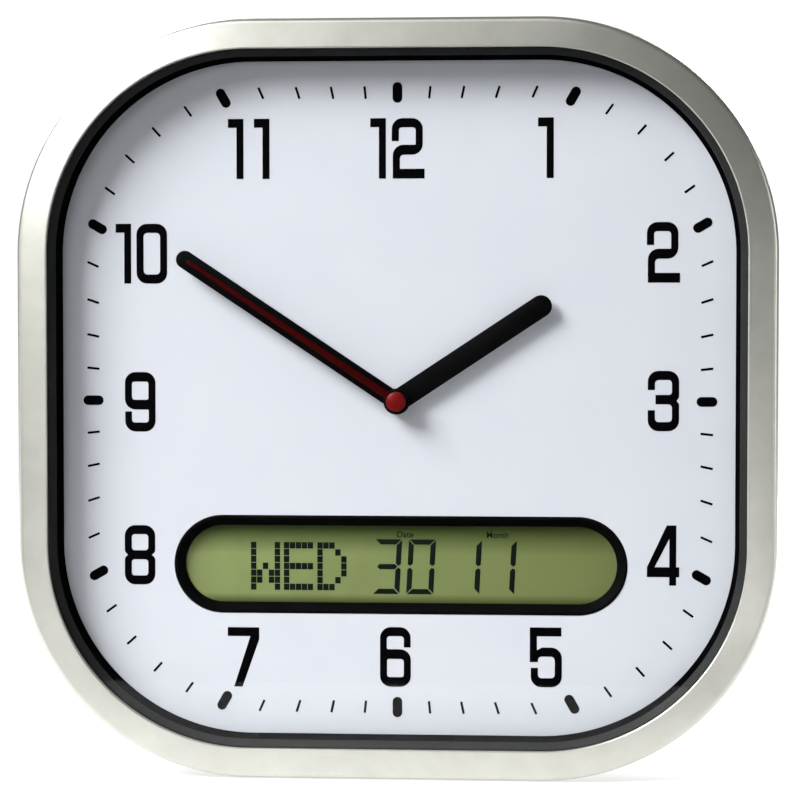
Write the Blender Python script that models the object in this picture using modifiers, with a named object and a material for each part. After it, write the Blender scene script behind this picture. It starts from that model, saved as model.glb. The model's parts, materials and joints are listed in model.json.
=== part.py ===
"""Wall clock with rounded corners, three hands and a day, date and month display.

The constants are in millimetres and MM turns them into metres. Every shape is drawn in dial
coordinates, x to the right, y up and z out of the wall, and lay_on_wall turns z to the world's -Y,
so that a distance from the wall is called a level. The hands turn about x = 0, y = 0, a little
below the middle of the case.
"""

import math

import bmesh
import bpy

MM = 0.001
GAP = 0.3
OVERLAP = 0.5
CLEAR_THROUGH = 2.0

# Case, as insets from its outer edge and levels out of the wall.
CASE_CENTRE = (-0.35, 0.8)
CASE_HALF = 150.0
CASE_CORNER = 92.4
CORNER_STEPS = 10
SKIRT_BACK = 3.0
SKIRT_WALL = 2.4
RIM_FRONT = 40.0
RIM_SLOPE = 0.9
RIM_INSET = 11.9
RIM_BACK = 37.6
RIM_EDGE_DROPS = ((0, 3.4), (0.8, 1.2), (2.8, 0))
LIP_CHAMFER = 0.9
GLASS_INSET = 9.4
GLASS_LEVELS = (35.3, 37.3)
RING_BACK = 23.8
RING_STEP = (14.1, 33.6)
RING_FOOT_WIDTH = 1.5
RING_WALL = (1.3, 1.4)
RING_INNER = (11.0, 1.6)
DIAL_EDGE_INSET = 16.0
DIAL_INSET = 11.3
DIAL_LEVELS = (23.6, 25.0)
DIAL_HOLE_RADIUS = 4.2

# Rear cover.
COVER_INSET = 11.5
COVER_WALL = 2.2
COVER_FRONT = 23.3
FLANGE_INSET = 2.8
FLANGE_LEVELS = (5.5, 8.0)
SCREW_INSET = 5.6
SCREW_SIDE = 45.0
SCREW_HOLE_RADIUS = 1.6
BOSS_RADIUS = 3.4
BOSS_HOLE_END = 20.0
KNOB_HOLE_RADIUS = 6.5
BUTTON_HOLE_RADIUS = 4.2
DOOR_OPENING = (58.0, 19.8)
DOOR_SIZE = (57.0, 18.8)
DOOR_THICKNESS = 1.8
DOOR_HINGE_LEVEL = 0.3
DOOR_NOTCH_RADIUS = 5.0
DOOR_NOTCH_Y = -20.4
HANGER_Y = 103.0
HANGER_HEAD_RADIUS = 5.0
HANGER_SLOT_RADIUS = 2.6
HANGER_SLOT_Y = 112.0

# Display window and calendar module.
WINDOW_X = 0.9
WINDOW_Y = -65.5
WINDOW_OUTER = (180.7, 38.8)
WINDOW_INNER = (172.8, 31.1)
WINDOW_LEVELS = (21.9, 24.7)
WINDOW_FLANGE = (3.8, 1.6)
WINDOW_FLANGE_BACK = 21.6
LCD_HALF = (88.2, 18.5)
LCD_LEVELS = (18.5, 21.3)
REFLECTOR_HALF_WIDTH = 87.5
REFLECTOR_RISE = (-15.4, 18.0)
REFLECTOR_LEVELS = (17.8, 18.2)
HOLDER_OUTER = (190.0, 50.0)
HOLDER_INNER = (177.2, 37.8)
HOLDER_LEVELS = (12.4, 21.3)
STRIP_HALF_WIDTH = 84.0
STRIP_RISE = (-18.3, -15.9)
STRIP_LEVELS = (12.5, 18.2)
LCD_BOARD = (194.0, 54.0)
LCD_BOARD_LEVELS = (10.5, 12.1)
LCD_SCREW_X = 91.7
LCD_SCREW_HOLE_RADIUS = 1.3
LCD_SCREW_HOLE_END = 19.0
BUTTON_X = (-30.0, -10.0, 10.0, 30.0)
MAT_SIZE = (84.0, 14.0)
MAT_LEVELS = (8.4, 10.2)
MAT_DOME = (3.2, (7.4, 8.9))
BUTTON_PARTS = ((3.8, (0.9, 3.2)), (5.2, (2.6, 3.6)), (2.5, (3.0, 5.9)))
CALENDAR_CELL_X = 72.0
TRAY_OUTER = (57.6, 20.8)
TRAY_INNER = (52.8, 17.2)
TRAY_LEVELS = (2.6, 19.6)
TRAY_ROOF = 1.2

# Movement, around the hand axis.
MOVEMENT_SIDE = 56.0
MOVEMENT_Y = -9.0
MOVEMENT_LEVELS = (6.3, 22.3)
MOVEMENT_SPLIT = 14.2
MOVEMENT_WALL = 1.4
CELL_RADIUS = 7.0
CELL_LENGTH = 50.0
CLOCK_CELL_Y = -27.6
CLOCK_CELL_LEVEL = 13.6
CALENDAR_CELL_LEVEL = 10.6
CELL_CAP = (2.6, 1.2)
CONTACT_X = 26.1
CONTACT_HALF = 5.0
CONTACT_THICKNESS = 0.4
LEAD_RADIUS = 0.6
TRAIN_ROOM = ((-26.6, 26.6), (-18.6, 17.6))
CELL_BAY = ((-26.4, 26.4), (-35.4, -19.8))
COLLET = (3.9, 2.35, 27.8)
PIVOT_RADIUS = 0.7
KNOB_BEARING_RADIUS = 1.4
WASHER = (9.0, (22.6, 23.3))
BRASS_WASHER = (5.1, (25.3, 25.7))
DIAL_NUT = (5.15, (26.0, 27.5))

# Gear centres: the second, centre, cannon and hour wheels share the hand axis.
HAND_AXIS = (0.0, 0.0)
SECOND_TO_FIFTH = 5.6
FIFTH_TO_ROTOR = 4.8
SECOND_TO_THIRD = 5.61
CANNON_TO_MOTION = 6.0
FIFTH_BEARING = math.radians(-20)
ROTOR_BEARING = 0.0
THIRD_BEARING = math.radians(60)
MOTION_BEARING = math.pi
TOOTH_TIP = 0.8
TOOTH_ROOT = 1.05
TOOTH_TIP_SHARE = 0.12
TOOTH_ROOT_SHARE = 0.30
ARBOR_RADIUS = 0.4
ARBOR_LEVELS = (6.6, 15.3)
ROTOR_TEETH = 8
FIFTH_TEETH = (40, 8)
SECOND_TEETH = (48, 6)
THIRD_TEETH = (45, 6)
CENTRE_TEETH = 48
CANNON_TEETH = 12
MOTION_TEETH = (36, 10)
HOUR_TEETH = 40
KNOB_TEETH = 12
BRIDGE_LEVELS = (14.9, 15.6)

# Motor and circuit board.
STATOR_LEVELS = (12.0, 12.9)
STATOR_MIDDLE = (14.0, -2.0)
COIL_X = 20.0
COIL_Y = (-9.0, 5.0)
COIL_RADIUS = 3.3
COIL_HOLE = ((18.3, 21.7), (-10, 6), (11.7, 13.2))
MOVEMENT_BOARD_MIDDLE = (-20.3, -0.5)
CRYSTAL_LEVEL = 11.3

# Hands, clockwise from 12.
HOUR_ANGLE = 56.5
MINUTE_ANGLE = 303.7
SECOND_ANGLE = 303.7
HOUR_HAND = (8.7, 8.7, 72.8)
MINUTE_HAND = (7.1, 7.1, 104.9)
SECOND_HAND = (3.1, 1.6, 100.2)
HOUR_LEVELS = (28.3, 29.0)
MINUTE_LEVELS = (30.3, 31.0)
SECOND_LEVELS = (32.0, 32.5)
HUB_RADIUS = 5.15
HUB_RISE = 0.5
SECOND_HUB_RADIUS = 3.4
CAP_RADIUS = 3.9
CAP_BACK = 32.9
CAP_EDGE = 0.5
CAP_DOME = 1.1

pieces = bpy.data.collections.new("wall_clock")
cutters = bpy.data.collections.new("cutters")


def clear_scene():
    for obj in list(bpy.data.objects):
        bpy.data.objects.remove(obj)
    bpy.context.scene.collection.children.link(pieces)
    bpy.context.scene.collection.children.link(cutters)


def polar(centre, radius, angle):
    return (centre[0] + radius * math.cos(angle), centre[1] + radius * math.sin(angle))


FIFTH_AXIS = polar(HAND_AXIS, SECOND_TO_FIFTH, FIFTH_BEARING)
ROTOR_AXIS = polar(FIFTH_AXIS, FIFTH_TO_ROTOR, ROTOR_BEARING)
THIRD_AXIS = polar(HAND_AXIS, SECOND_TO_THIRD, THIRD_BEARING)
MOTION_AXIS = polar(HAND_AXIS, CANNON_TO_MOTION, MOTION_BEARING)
KNOB_AXIS = polar(MOTION_AXIS, CANNON_TO_MOTION, MOTION_BEARING)


# Outlines, as lists of (x, y).


def arc(centre, radius, start, end, steps):
    angles = (start + (end - start) * i / steps for i in range(steps + 1))
    return [polar(centre, radius, math.radians(a)) for a in angles]


def circle(radius, centre=(0, 0), steps=24):
    return [polar(centre, radius, 2 * math.pi * i / steps) for i in range(steps)]


def rounded_box(width, height, corner, centre=(0, 0), steps=6):
    points = []
    for start, side_x, side_y in ((0, 1, 1), (90, -1, 1), (180, -1, -1), (270, 1, -1)):
        middle = (
            centre[0] + side_x * (width / 2 - corner),
            centre[1] + side_y * (height / 2 - corner),
        )
        points += arc(middle, corner, start, start + 90, steps)
    return points


def case_outline(inset):
    side = 2 * (CASE_HALF - inset)
    return rounded_box(side, side, CASE_CORNER - inset, CASE_CENTRE, CORNER_STEPS)


def window_outline(size, grow=0.0):
    width = size[0] + 2 * grow
    height = size[1] + 2 * grow
    right = (WINDOW_X + (width - height) / 2, WINDOW_Y)
    left = (WINDOW_X - (width - height) / 2, WINDOW_Y)
    return arc(right, height / 2, -90, 90, 12) + arc(left, height / 2, 90, 270, 12)


def hanger_outline():
    opening = math.degrees(math.asin(HANGER_SLOT_RADIUS / HANGER_HEAD_RADIUS))
    x = CASE_CENTRE[0]
    head = arc((x, HANGER_Y), HANGER_HEAD_RADIUS, 90 + opening, 450 - opening, 16)
    slot = arc((x, HANGER_SLOT_Y), HANGER_SLOT_RADIUS, 0, 180, 8)
    return head + slot


def gear_outline(teeth, pitch_radius, first_tooth):
    """Straight-sided teeth; first_tooth is the direction in which one of them points."""
    module = 2 * pitch_radius / teeth
    tip = pitch_radius + TOOTH_TIP * module
    root = pitch_radius - TOOTH_ROOT * module
    tooth = (
        (-TOOTH_ROOT_SHARE, root),
        (-TOOTH_TIP_SHARE, tip),
        (TOOTH_TIP_SHARE, tip),
        (TOOTH_ROOT_SHARE, root),
    )
    pitch = 2 * math.pi / teeth
    return [
        polar((0, 0), radius, first_tooth + (i + share) * pitch)
        for i in range(teeth)
        for share, radius in tooth
    ]


def meshing_tooth(first_tooth, teeth, bearing, other_teeth):
    """The first tooth of a gear that lies at this bearing from one whose first tooth is given."""
    turned = (first_tooth - bearing) * teeth / other_teeth
    return bearing + math.pi + math.pi / other_teeth - turned


# Shapes, as objects that are not yet in the scene.


def shape_from(mesh_maker):
    body = bmesh.new()
    mesh_maker(body)
    mesh = bpy.data.meshes.new("shape")
    body.to_mesh(mesh)
    body.free()
    return bpy.data.objects.new("shape", mesh)


def move_and_stretch(body, middle, size):
    bmesh.ops.scale(body, vec=[s * MM for s in size], verts=body.verts)
    bmesh.ops.translate(body, vec=[m * MM for m in middle], verts=body.verts)


def block(x, y, z):
    """A box between the given pairs of x, y and level."""

    def make(body):
        bmesh.ops.create_cube(body, size=1)
        middle = [(a + b) / 2 for a, b in (x, y, z)]
        move_and_stretch(body, middle, [b - a for a, b in (x, y, z)])

    return shape_from(make)


def disc(radius, z, centre=(0, 0), steps=24, front_radius=None):
    """A cylinder or cone along the level axis."""
    top = radius if front_radius is None else front_radius

    def make(body):
        bmesh.ops.create_cone(
            body, cap_ends=True, segments=steps, radius1=radius, radius2=top, depth=z[1] - z[0]
        )
        move_and_stretch(body, (*centre, (z[0] + z[1]) / 2), (1, 1, 1))

    return shape_from(make)


def rod(radius, start, end, along, steps=24):
    """A cylinder lying along x (0) or y (1), between two points of equal level."""
    length = end[along] - start[along]

    def make(body):
        bmesh.ops.create_cone(
            body, cap_ends=True, segments=steps, radius1=radius, radius2=radius, depth=length
        )
        for vert in body.verts:
            a, b, c = vert.co
            vert.co = (c, a, b) if along == 0 else (b, c, a)
        middle = [(a + b) / 2 for a, b in zip(start, end)]
        move_and_stretch(body, middle, (1, 1, 1))

    return shape_from(make)


def turned(profile, steps=24):
    """A profile of (radius, level) from its front at the axis to its back, turned about the axis."""

    def make(body):
        verts = [body.verts.new((r * MM, 0, z * MM)) for r, z in profile]
        for first, second in zip(verts, verts[1:]):
            body.edges.new((first, second))

    obj = shape_from(make)
    screw = obj.modifiers.new("turn", "SCREW")
    screw.steps = steps
    screw.render_steps = steps
    screw.use_merge_vertices = True
    screw.merge_threshold = 0.000001
    return obj


def flat_curve(outlines, thickness=0.0):
    curve = bpy.data.curves.new("outline", "CURVE")
    curve.dimensions = "2D"
    curve.fill_mode = "BOTH"
    curve.extrude = thickness / 2 * MM
    for outline in outlines:
        spline = curve.splines.new("POLY")
        spline.points.add(len(outline) - 1)
        for point, (x, y) in zip(spline.points, outline):
            point.co = (x * MM, y * MM, 0, 1)
        spline.use_cyclic_u = True
    return bpy.data.objects.new("outline", curve)


def mesh_of(obj):
    """The object's evaluated mesh, with its caps welded and its faces pointing out."""
    bpy.context.scene.collection.objects.link(obj)
    graph = bpy.context.evaluated_depsgraph_get()
    mesh = bpy.data.meshes.new_from_object(obj.evaluated_get(graph))
    bpy.data.objects.remove(obj)
    body = bmesh.new()
    body.from_mesh(mesh)
    bmesh.ops.remove_doubles(body, verts=body.verts, dist=0.000001)
    bmesh.ops.recalc_face_normals(body, faces=body.faces)
    body.to_mesh(mesh)
    body.free()
    return mesh


def slab(outlines, z):
    """A flat plate between two levels; outlines inside the first are holes."""
    mesh = mesh_of(flat_curve(outlines, z[1] - z[0]))
    for vert in mesh.vertices:
        vert.co.z += (z[0] + z[1]) / 2 * MM
    return bpy.data.objects.new("shape", mesh)


def ring(profile):
    """A closed profile of (inset, level), swept round the case."""
    middle = sum(inset for inset, _ in profile) / len(profile)
    section = flat_curve([[(inset - middle, level) for inset, level in profile]])
    bpy.context.scene.collection.objects.link(section)
    path = flat_curve([case_outline(middle)])
    path.data.fill_mode = "NONE"
    path.data.bevel_mode = "OBJECT"
    path.data.bevel_object = section
    mesh = mesh_of(path)
    bpy.data.objects.remove(section)
    return bpy.data.objects.new("shape", mesh)


def wire(points, radius):
    """A round lead through points of (x, y, level)."""
    curve = bpy.data.curves.new("lead", "CURVE")
    curve.dimensions = "3D"
    curve.bevel_depth = radius * MM
    curve.bevel_resolution = 2
    curve.use_fill_caps = True
    spline = curve.splines.new("POLY")
    spline.points.add(len(points) - 1)
    for point, place in zip(spline.points, points):
        point.co = (*(value * MM for value in place), 1)
    return bpy.data.objects.new("shape", mesh_of(bpy.data.objects.new("lead", curve)))


# Materials and placing.


def material(name, colour, roughness, metallic=0.0, alpha=1.0):
    made = bpy.data.materials.new(name)
    made.use_nodes = True
    shader = made.node_tree.nodes["Principled BSDF"]
    shader.inputs["Base Color"].default_value = (*colour, 1)
    shader.inputs["Roughness"].default_value = roughness
    shader.inputs["Metallic"].default_value = metallic
    shader.inputs["Alpha"].default_value = alpha
    return made


SILVER = material("satin_silver", (0.62, 0.62, 0.58), 0.35, 0.7)
BLACK = material("black_plastic", (0.015, 0.015, 0.016), 0.4)
HAND_BLACK = material("hand_black", (0.01, 0.01, 0.011), 0.35, 0.2)
DIAL_WHITE = material("dial_white", (0.72, 0.74, 0.82), 0.6)
GLASS = material("clear_glass", (0.9, 0.95, 0.93), 0.03, 0.0, 0.2)
DISPLAY_GREEN = material("display_green", (0.3, 0.4, 0.14), 0.25)
RED = material("hand_red", (0.3, 0.01, 0.01), 0.35)
GREY_PLASTIC = material("grey_plastic", (0.12, 0.12, 0.13), 0.55)
WHITE_PLASTIC = material("white_plastic", (0.75, 0.75, 0.72), 0.5)
RUBBER = material("grey_rubber", (0.2, 0.2, 0.21), 0.8)
STEEL = material("zinc_steel", (0.6, 0.6, 0.6), 0.3, 1.0)
BRASS = material("brass", (0.7, 0.5, 0.2), 0.3, 1.0)
COPPER = material("copper_winding", (0.6, 0.25, 0.1), 0.35, 1.0)
BOARD_GREEN = material("board_green", (0.03, 0.18, 0.06), 0.5)
CELL_JACKET = material("cell_jacket", (0.08, 0.1, 0.14), 0.4)
FOIL = material("reflector_foil", (0.8, 0.8, 0.78), 0.2, 0.8)
LEAD_RED = material("lead_red", (0.5, 0.02, 0.02), 0.5)
LEAD_BLACK = material("lead_black", (0.02, 0.02, 0.02), 0.5)


def lay_on_wall(obj, axis=(0, 0), level=0.0, clockwise=0.0):
    obj.location = (axis[0] * MM, -level * MM, axis[1] * MM)
    obj.rotation_euler = (math.pi / 2, math.radians(clockwise), 0)


def piece(name, shape, surface, axis=(0, 0), level=0.0, clockwise=0.0, smooth=False):
    """Puts a shape in the clock, drawn about its own axis and level."""
    shape.name = name
    shape.data.name = name
    shape.data.materials.clear()
    shape.data.materials.append(surface)
    if smooth:
        shape.data.shade_smooth()
        shape.data.set_sharp_from_angle(angle=math.radians(35))
    lay_on_wall(shape, axis, level, clockwise)
    pieces.objects.link(shape)
    return shape


def combine(target, shapes, operation):
    """Adds shapes to a piece or cuts them from it, in the piece's own coordinates."""
    for shape in shapes:
        shape.name = f"{target.name}_{operation.lower()}"
        shape.location = target.location
        shape.rotation_euler = target.rotation_euler
        shape.hide_render = True
        shape.display_type = "WIRE"
        cutters.objects.link(shape)
        boolean = target.modifiers.new(operation.lower(), "BOOLEAN")
        boolean.operation = operation
        boolean.solver = "EXACT"
        boolean.object = shape


def join(target, *shapes):
    combine(target, shapes, "UNION")


def cut(target, *shapes):
    combine(target, shapes, "DIFFERENCE")


# Case.


def screw_places():
    """Two on each side, one at the top and one at the bottom, from the middle of the case."""
    edge = CASE_HALF - SCREW_INSET
    places = [(x * edge, y * SCREW_SIDE) for x in (-1, 1) for y in (-1, 1)]
    places += [(0, edge), (0, -edge)]
    return [(CASE_CENTRE[0] + x, CASE_CENTRE[1] + y) for x, y in places]


def make_bezel():
    outer_edge = [(inset, RIM_FRONT - RIM_SLOPE - drop) for inset, drop in RIM_EDGE_DROPS]
    profile = [
        (0, SKIRT_BACK),
        *outer_edge,
        (RIM_INSET - LIP_CHAMFER, RIM_FRONT),
        (RIM_INSET, RIM_FRONT - LIP_CHAMFER),
        (RIM_INSET, RIM_BACK),
        (SKIRT_WALL, RIM_BACK),
        (SKIRT_WALL, SKIRT_BACK),
    ]
    bezel = piece("bezel", ring(profile), SILVER)
    boss_levels = (FLANGE_LEVELS[1] + GAP, RIM_BACK + OVERLAP)
    for place in screw_places():
        join(bezel, disc(BOSS_RADIUS, boss_levels, place, 16))
        cut(bezel, disc(SCREW_HOLE_RADIUS, (0, BOSS_HOLE_END), place, 12))


def make_glass_and_ring():
    piece("front_glass", slab([case_outline(GLASS_INSET)], GLASS_LEVELS), GLASS)
    top = GLASS_LEVELS[0] - GAP
    foot = DIAL_LEVELS[1] + GAP
    profile = [
        (GLASS_INSET, RING_BACK),
        (GLASS_INSET, top),
        (RIM_INSET + 0.1, top),
        RING_STEP,
        (DIAL_EDGE_INSET, foot),
        (DIAL_EDGE_INSET - RING_FOOT_WIDTH, foot),
        (RING_STEP[0] - RING_WALL[0], RING_STEP[1] - RING_WALL[1]),
        (RING_INNER[0], top - RING_INNER[1]),
        (RING_INNER[0], RING_BACK),
    ]
    piece("inner_ring", ring(profile), BLACK)


def make_dial():
    holes = [circle(DIAL_HOLE_RADIUS), window_outline(WINDOW_OUTER, GAP)]
    piece("dial_plate", slab([case_outline(DIAL_INSET), *holes], DIAL_LEVELS), DIAL_WHITE)


def cell_opening(centre_x, centre_y):
    return rounded_box(*DOOR_OPENING, 1.0, (centre_x, centre_y), 2)


def make_rear_cover():
    cover = piece("rear_cover", slab([case_outline(COVER_INSET)], (0, COVER_FRONT)), GREY_PLASTIC)
    join(cover, slab([case_outline(FLANGE_INSET)], FLANGE_LEVELS))
    inside = case_outline(COVER_INSET + COVER_WALL)
    cut(cover, slab([inside], (COVER_WALL, COVER_FRONT + CLEAR_THROUGH)))
    openings = [
        hanger_outline(),
        circle(KNOB_HOLE_RADIUS, KNOB_AXIS),
        cell_opening(0, CLOCK_CELL_Y),
        cell_opening(CALENDAR_CELL_X, 0),
    ]
    openings += [circle(BUTTON_HOLE_RADIUS, (x, WINDOW_Y), 16) for x in BUTTON_X]
    cut(cover, slab(openings, (-CLEAR_THROUGH, COVER_WALL + CLEAR_THROUGH)))
    holes = [circle(SCREW_HOLE_RADIUS, place, 12) for place in screw_places()]
    cut(cover, slab(holes, (FLANGE_LEVELS[0] - CLEAR_THROUGH, FLANGE_LEVELS[1] + CLEAR_THROUGH)))


def screw_mesh(head, shank, length):
    """A pan-head screw driven from the back, whose head's underside is at level 0."""
    screw = disc(head * 0.75, (-1.8, 0), steps=16, front_radius=head)
    shapes = [disc(shank, (-0.5, length), steps=10)]
    slots = [
        block((-a, a), (-b, b), (-2.5, -1.0))
        for a, b in ((head * 0.5, 0.35), (0.35, head * 0.5))
    ]
    for operation, group in (("UNION", shapes), ("DIFFERENCE", slots)):
        for shape in group:
            bpy.context.scene.collection.objects.link(shape)
            boolean = screw.modifiers.new("shape", "BOOLEAN")
            boolean.operation = operation
            boolean.object = shape
    mesh = mesh_of(screw)
    for shape in shapes + slots:
        bpy.data.objects.remove(shape)
    return mesh


def make_cover_screws():
    mesh = screw_mesh(2.9, 1.25, 11.5)
    mesh.name = "cover_screw"
    for number, place in enumerate(screw_places(), 1):
        screw = bpy.data.objects.new("screw", mesh)
        piece(f"cover_screw_{number}", screw, STEEL, place, FLANGE_LEVELS[0] - GAP)


def make_cell_door(name, centre_x, centre_y):
    """Hinged on its top edge, at the outer face; a thumb notch is cut in the lower edge."""
    half = DOOR_SIZE[1] / 2
    plate = slab([rounded_box(*DOOR_SIZE, 0.8, (0, -half), 2)], (0, DOOR_THICKNESS))
    door = piece(name, plate, GREY_PLASTIC, (centre_x, centre_y + half), DOOR_HINGE_LEVEL)
    cut(door, disc(DOOR_NOTCH_RADIUS, (-1, DOOR_THICKNESS / 2), (0, DOOR_NOTCH_Y), 20))


# Display and calendar module.


def make_display():
    opening = [window_outline(WINDOW_OUTER), window_outline(WINDOW_INNER)]
    frame = piece("lcd_window_frame", slab(opening, WINDOW_LEVELS), BLACK)
    flange = [window_outline(WINDOW_OUTER, WINDOW_FLANGE[0])]
    flange.append(window_outline(WINDOW_INNER, WINDOW_FLANGE[1]))
    join(frame, slab(flange, (WINDOW_FLANGE_BACK, DIAL_LEVELS[0] - GAP)))
    x, y = WINDOW_X, WINDOW_Y

    def across(half_width, rise, levels):
        return block((x - half_width, x + half_width), (y + rise[0], y + rise[1]), levels)

    rise = (-LCD_HALF[1], LCD_HALF[1])
    piece("lcd_glass", across(LCD_HALF[0], rise, LCD_LEVELS), DISPLAY_GREEN)
    reflector = across(REFLECTOR_HALF_WIDTH, REFLECTOR_RISE, REFLECTOR_LEVELS)
    piece("lcd_reflector", reflector, FOIL)
    outlines = [rounded_box(*HOLDER_OUTER, 2, (x, y), 3), rounded_box(*HOLDER_INNER, 0.5, (x, y), 2)]
    holder = piece("lcd_holder", slab(outlines, HOLDER_LEVELS), WHITE_PLASTIC)
    piece("zebra_strip", across(STRIP_HALF_WIDTH, STRIP_RISE, STRIP_LEVELS), RUBBER)
    outline = rounded_box(*LCD_BOARD, 1, (x, y), 2)
    board = piece("lcd_board", slab([outline], LCD_BOARD_LEVELS), BOARD_GREEN)
    mesh = screw_mesh(2.2, 0.9, 8.0)
    mesh.name = "lcd_screw"
    for side, sign in (("left", -1), ("right", 1)):
        place = (x + sign * LCD_SCREW_X, y)
        screw = bpy.data.objects.new("screw", mesh)
        piece(f"lcd_screw_{side}", screw, STEEL, place, LCD_BOARD_LEVELS[0] - GAP)
        through = (LCD_BOARD_LEVELS[0] - CLEAR_THROUGH, LCD_BOARD_LEVELS[1] + CLEAR_THROUGH)
        cut(board, disc(LCD_SCREW_HOLE_RADIUS, through, place, 12))
        blind = (HOLDER_LEVELS[0] - CLEAR_THROUGH, LCD_SCREW_HOLE_END)
        cut(holder, disc(LCD_SCREW_HOLE_RADIUS, blind, place, 12))


def make_buttons():
    mat = piece("keypad_mat", slab([rounded_box(*MAT_SIZE, 2, (0, WINDOW_Y), 3)], MAT_LEVELS), RUBBER)
    dome_radius, dome_levels = MAT_DOME
    cap, flange, stem = BUTTON_PARTS
    for number, x in enumerate(BUTTON_X, 1):
        join(mat, disc(dome_radius, dome_levels, (x, WINDOW_Y), 16))
        button = disc(*cap, steps=16)
        button = piece(f"set_button_{number}", button, WHITE_PLASTIC, (x, WINDOW_Y), smooth=True)
        join(button, disc(*flange, steps=16), disc(*stem, steps=12))


def make_cell(name, centre_x, centre_y, level):
    """A round cell along x, its raised contact to the right."""
    left = centre_x - CELL_LENGTH / 2
    right = centre_x + CELL_LENGTH / 2
    cap_radius, cap_height = CELL_CAP
    body = rod(CELL_RADIUS, (left, centre_y, level), (right - cap_height, centre_y, level), 0)
    cell = piece(name, body, CELL_JACKET, smooth=True)
    root = right - cap_height - OVERLAP
    join(cell, rod(cap_radius, (root, centre_y, level), (right, centre_y, level), 0, 16))


def make_contact(name, outer_x, centre_y, level, side):
    """A spring plate at one end of a cell, bulging towards it."""
    thick, half = CONTACT_THICKNESS, CONTACT_HALF
    across = (centre_y - half, centre_y + half)
    plate = block(sorted((outer_x, outer_x - side * thick)), across, (level - half, level + half))
    contact = piece(name, plate, STEEL)
    ends = sorted((outer_x - side * thick / 2, outer_x - side * thick * 2))
    join(contact, rod(2.2, (ends[0], centre_y, level), (ends[1], centre_y, level), 0, 12))


def make_calendar_cell():
    x = CALENDAR_CELL_X
    back, front = TRAY_LEVELS

    def box(size, levels):
        return block((x - size[0] / 2, x + size[0] / 2), (-size[1] / 2, size[1] / 2), levels)

    tray = piece("calendar_cell_tray", box(TRAY_OUTER, TRAY_LEVELS), WHITE_PLASTIC)
    cut(tray, box(TRAY_INNER, (back - CLEAR_THROUGH, front - TRAY_ROOF)))
    make_cell("calendar_cell", x, 0, CALENDAR_CELL_LEVEL)
    make_contact("calendar_contact_plus", x + CONTACT_X, 0, CALENDAR_CELL_LEVEL, 1)
    make_contact("calendar_contact_minus", x - CONTACT_X, 0, CALENDAR_CELL_LEVEL, -1)
    make_cell_door("calendar_cell_door", x, 0)


def smooth_route(points, steps):
    """Points along a Catmull-Rom curve through the given ones."""
    ends = [points[0], *points, points[-1]]
    route = []
    for before, start, end, after in zip(ends, ends[1:], ends[2:], ends[3:]):
        for step in range(steps):
            t = step / steps
            route.append(
                tuple(
                    0.5 * (2 * b + (c - a) * t + (2 * a - 5 * b + 4 * c - d) * t**2
                           + (3 * b - a - 3 * c + d) * t**3)
                    for a, b, c, d in zip(before, start, end, after)
                )
            )
    return route + [points[-1]]


def make_leads():
    for name, start_x, surface in (("lead_red", 50, LEAD_RED), ("lead_black", 47, LEAD_BLACK)):
        route = [
            (start_x, -10.7, 9.0),
            (start_x - 0.5, -18.0, 8.0),
            (start_x - 5.0, -28.0, 7.6),
            (start_x - 7.0, -36.0, 8.4),
            (start_x - 7.0, -44.0, 9.5),
        ]
        piece(name, wire(smooth_route(route, 3), LEAD_RADIUS), surface)


# Movement.


def make_movement_cases():
    split = MOVEMENT_SPLIT
    back, front = MOVEMENT_LEVELS
    outline = rounded_box(MOVEMENT_SIDE, MOVEMENT_SIDE, 3, (0, MOVEMENT_Y), 3)
    lower = piece("movement_back_case", slab([outline], (back, split)), GREY_PLASTIC)
    upper = piece("movement_front_case", slab([outline], (split + GAP, front)), GREY_PLASTIC)
    cut(lower, block(*TRAIN_ROOM, (back + MOVEMENT_WALL, split + CLEAR_THROUGH)))
    cut(lower, block(*CELL_BAY, (back - CLEAR_THROUGH, split + CLEAR_THROUGH)))
    axes = (HAND_AXIS, FIFTH_AXIS, ROTOR_AXIS, THIRD_AXIS)
    holes = [circle(PIVOT_RADIUS, axis, 10) for axis in axes]
    holes.append(circle(KNOB_BEARING_RADIUS, KNOB_AXIS, 16))
    cut(lower, slab(holes, (back - CLEAR_THROUGH, back + CLEAR_THROUGH)))
    cut(upper, block(*TRAIN_ROOM, (split - CLEAR_THROUGH, front - MOVEMENT_WALL)))
    cut(upper, block(*CELL_BAY, (split - CLEAR_THROUGH, front - MOVEMENT_WALL)))
    collet_radius, bore_radius, collet_end = COLLET
    inside = front - MOVEMENT_WALL - CLEAR_THROUGH
    join(upper, disc(collet_radius, (front - OVERLAP, collet_end)))
    cut(upper, disc(bore_radius, (inside, collet_end + CLEAR_THROUGH)))
    cut(upper, disc(PIVOT_RADIUS, (inside, front + CLEAR_THROUGH), MOTION_AXIS, 10))


def make_fixings():
    for name, (radius, levels), steps, surface in (
        ("rubber_washer", WASHER, 24, RUBBER),
        ("brass_washer", BRASS_WASHER, 20, BRASS),
        ("dial_nut", DIAL_NUT, 6, BRASS),
    ):
        hole = circle(DIAL_HOLE_RADIUS, steps=max(steps, 20))
        piece(name, slab([circle(radius, steps=steps), hole], levels), surface)


def make_wheel(name, axis, arbor_radius, arbor_levels, gears, surface):
    """An arbor with one slab of teeth for each (outline, levels)."""
    arbor = disc(arbor_radius, arbor_levels, steps=10)
    wheel = piece(name, arbor, surface, axis)
    join(wheel, *(slab([outline], levels) for outline, levels in gears))
    return wheel


def shares(distance, driver, driven):
    """The pitch radii of two gears that mesh at this distance."""
    return distance * driver / (driver + driven), distance * driven / (driver + driven)


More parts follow.
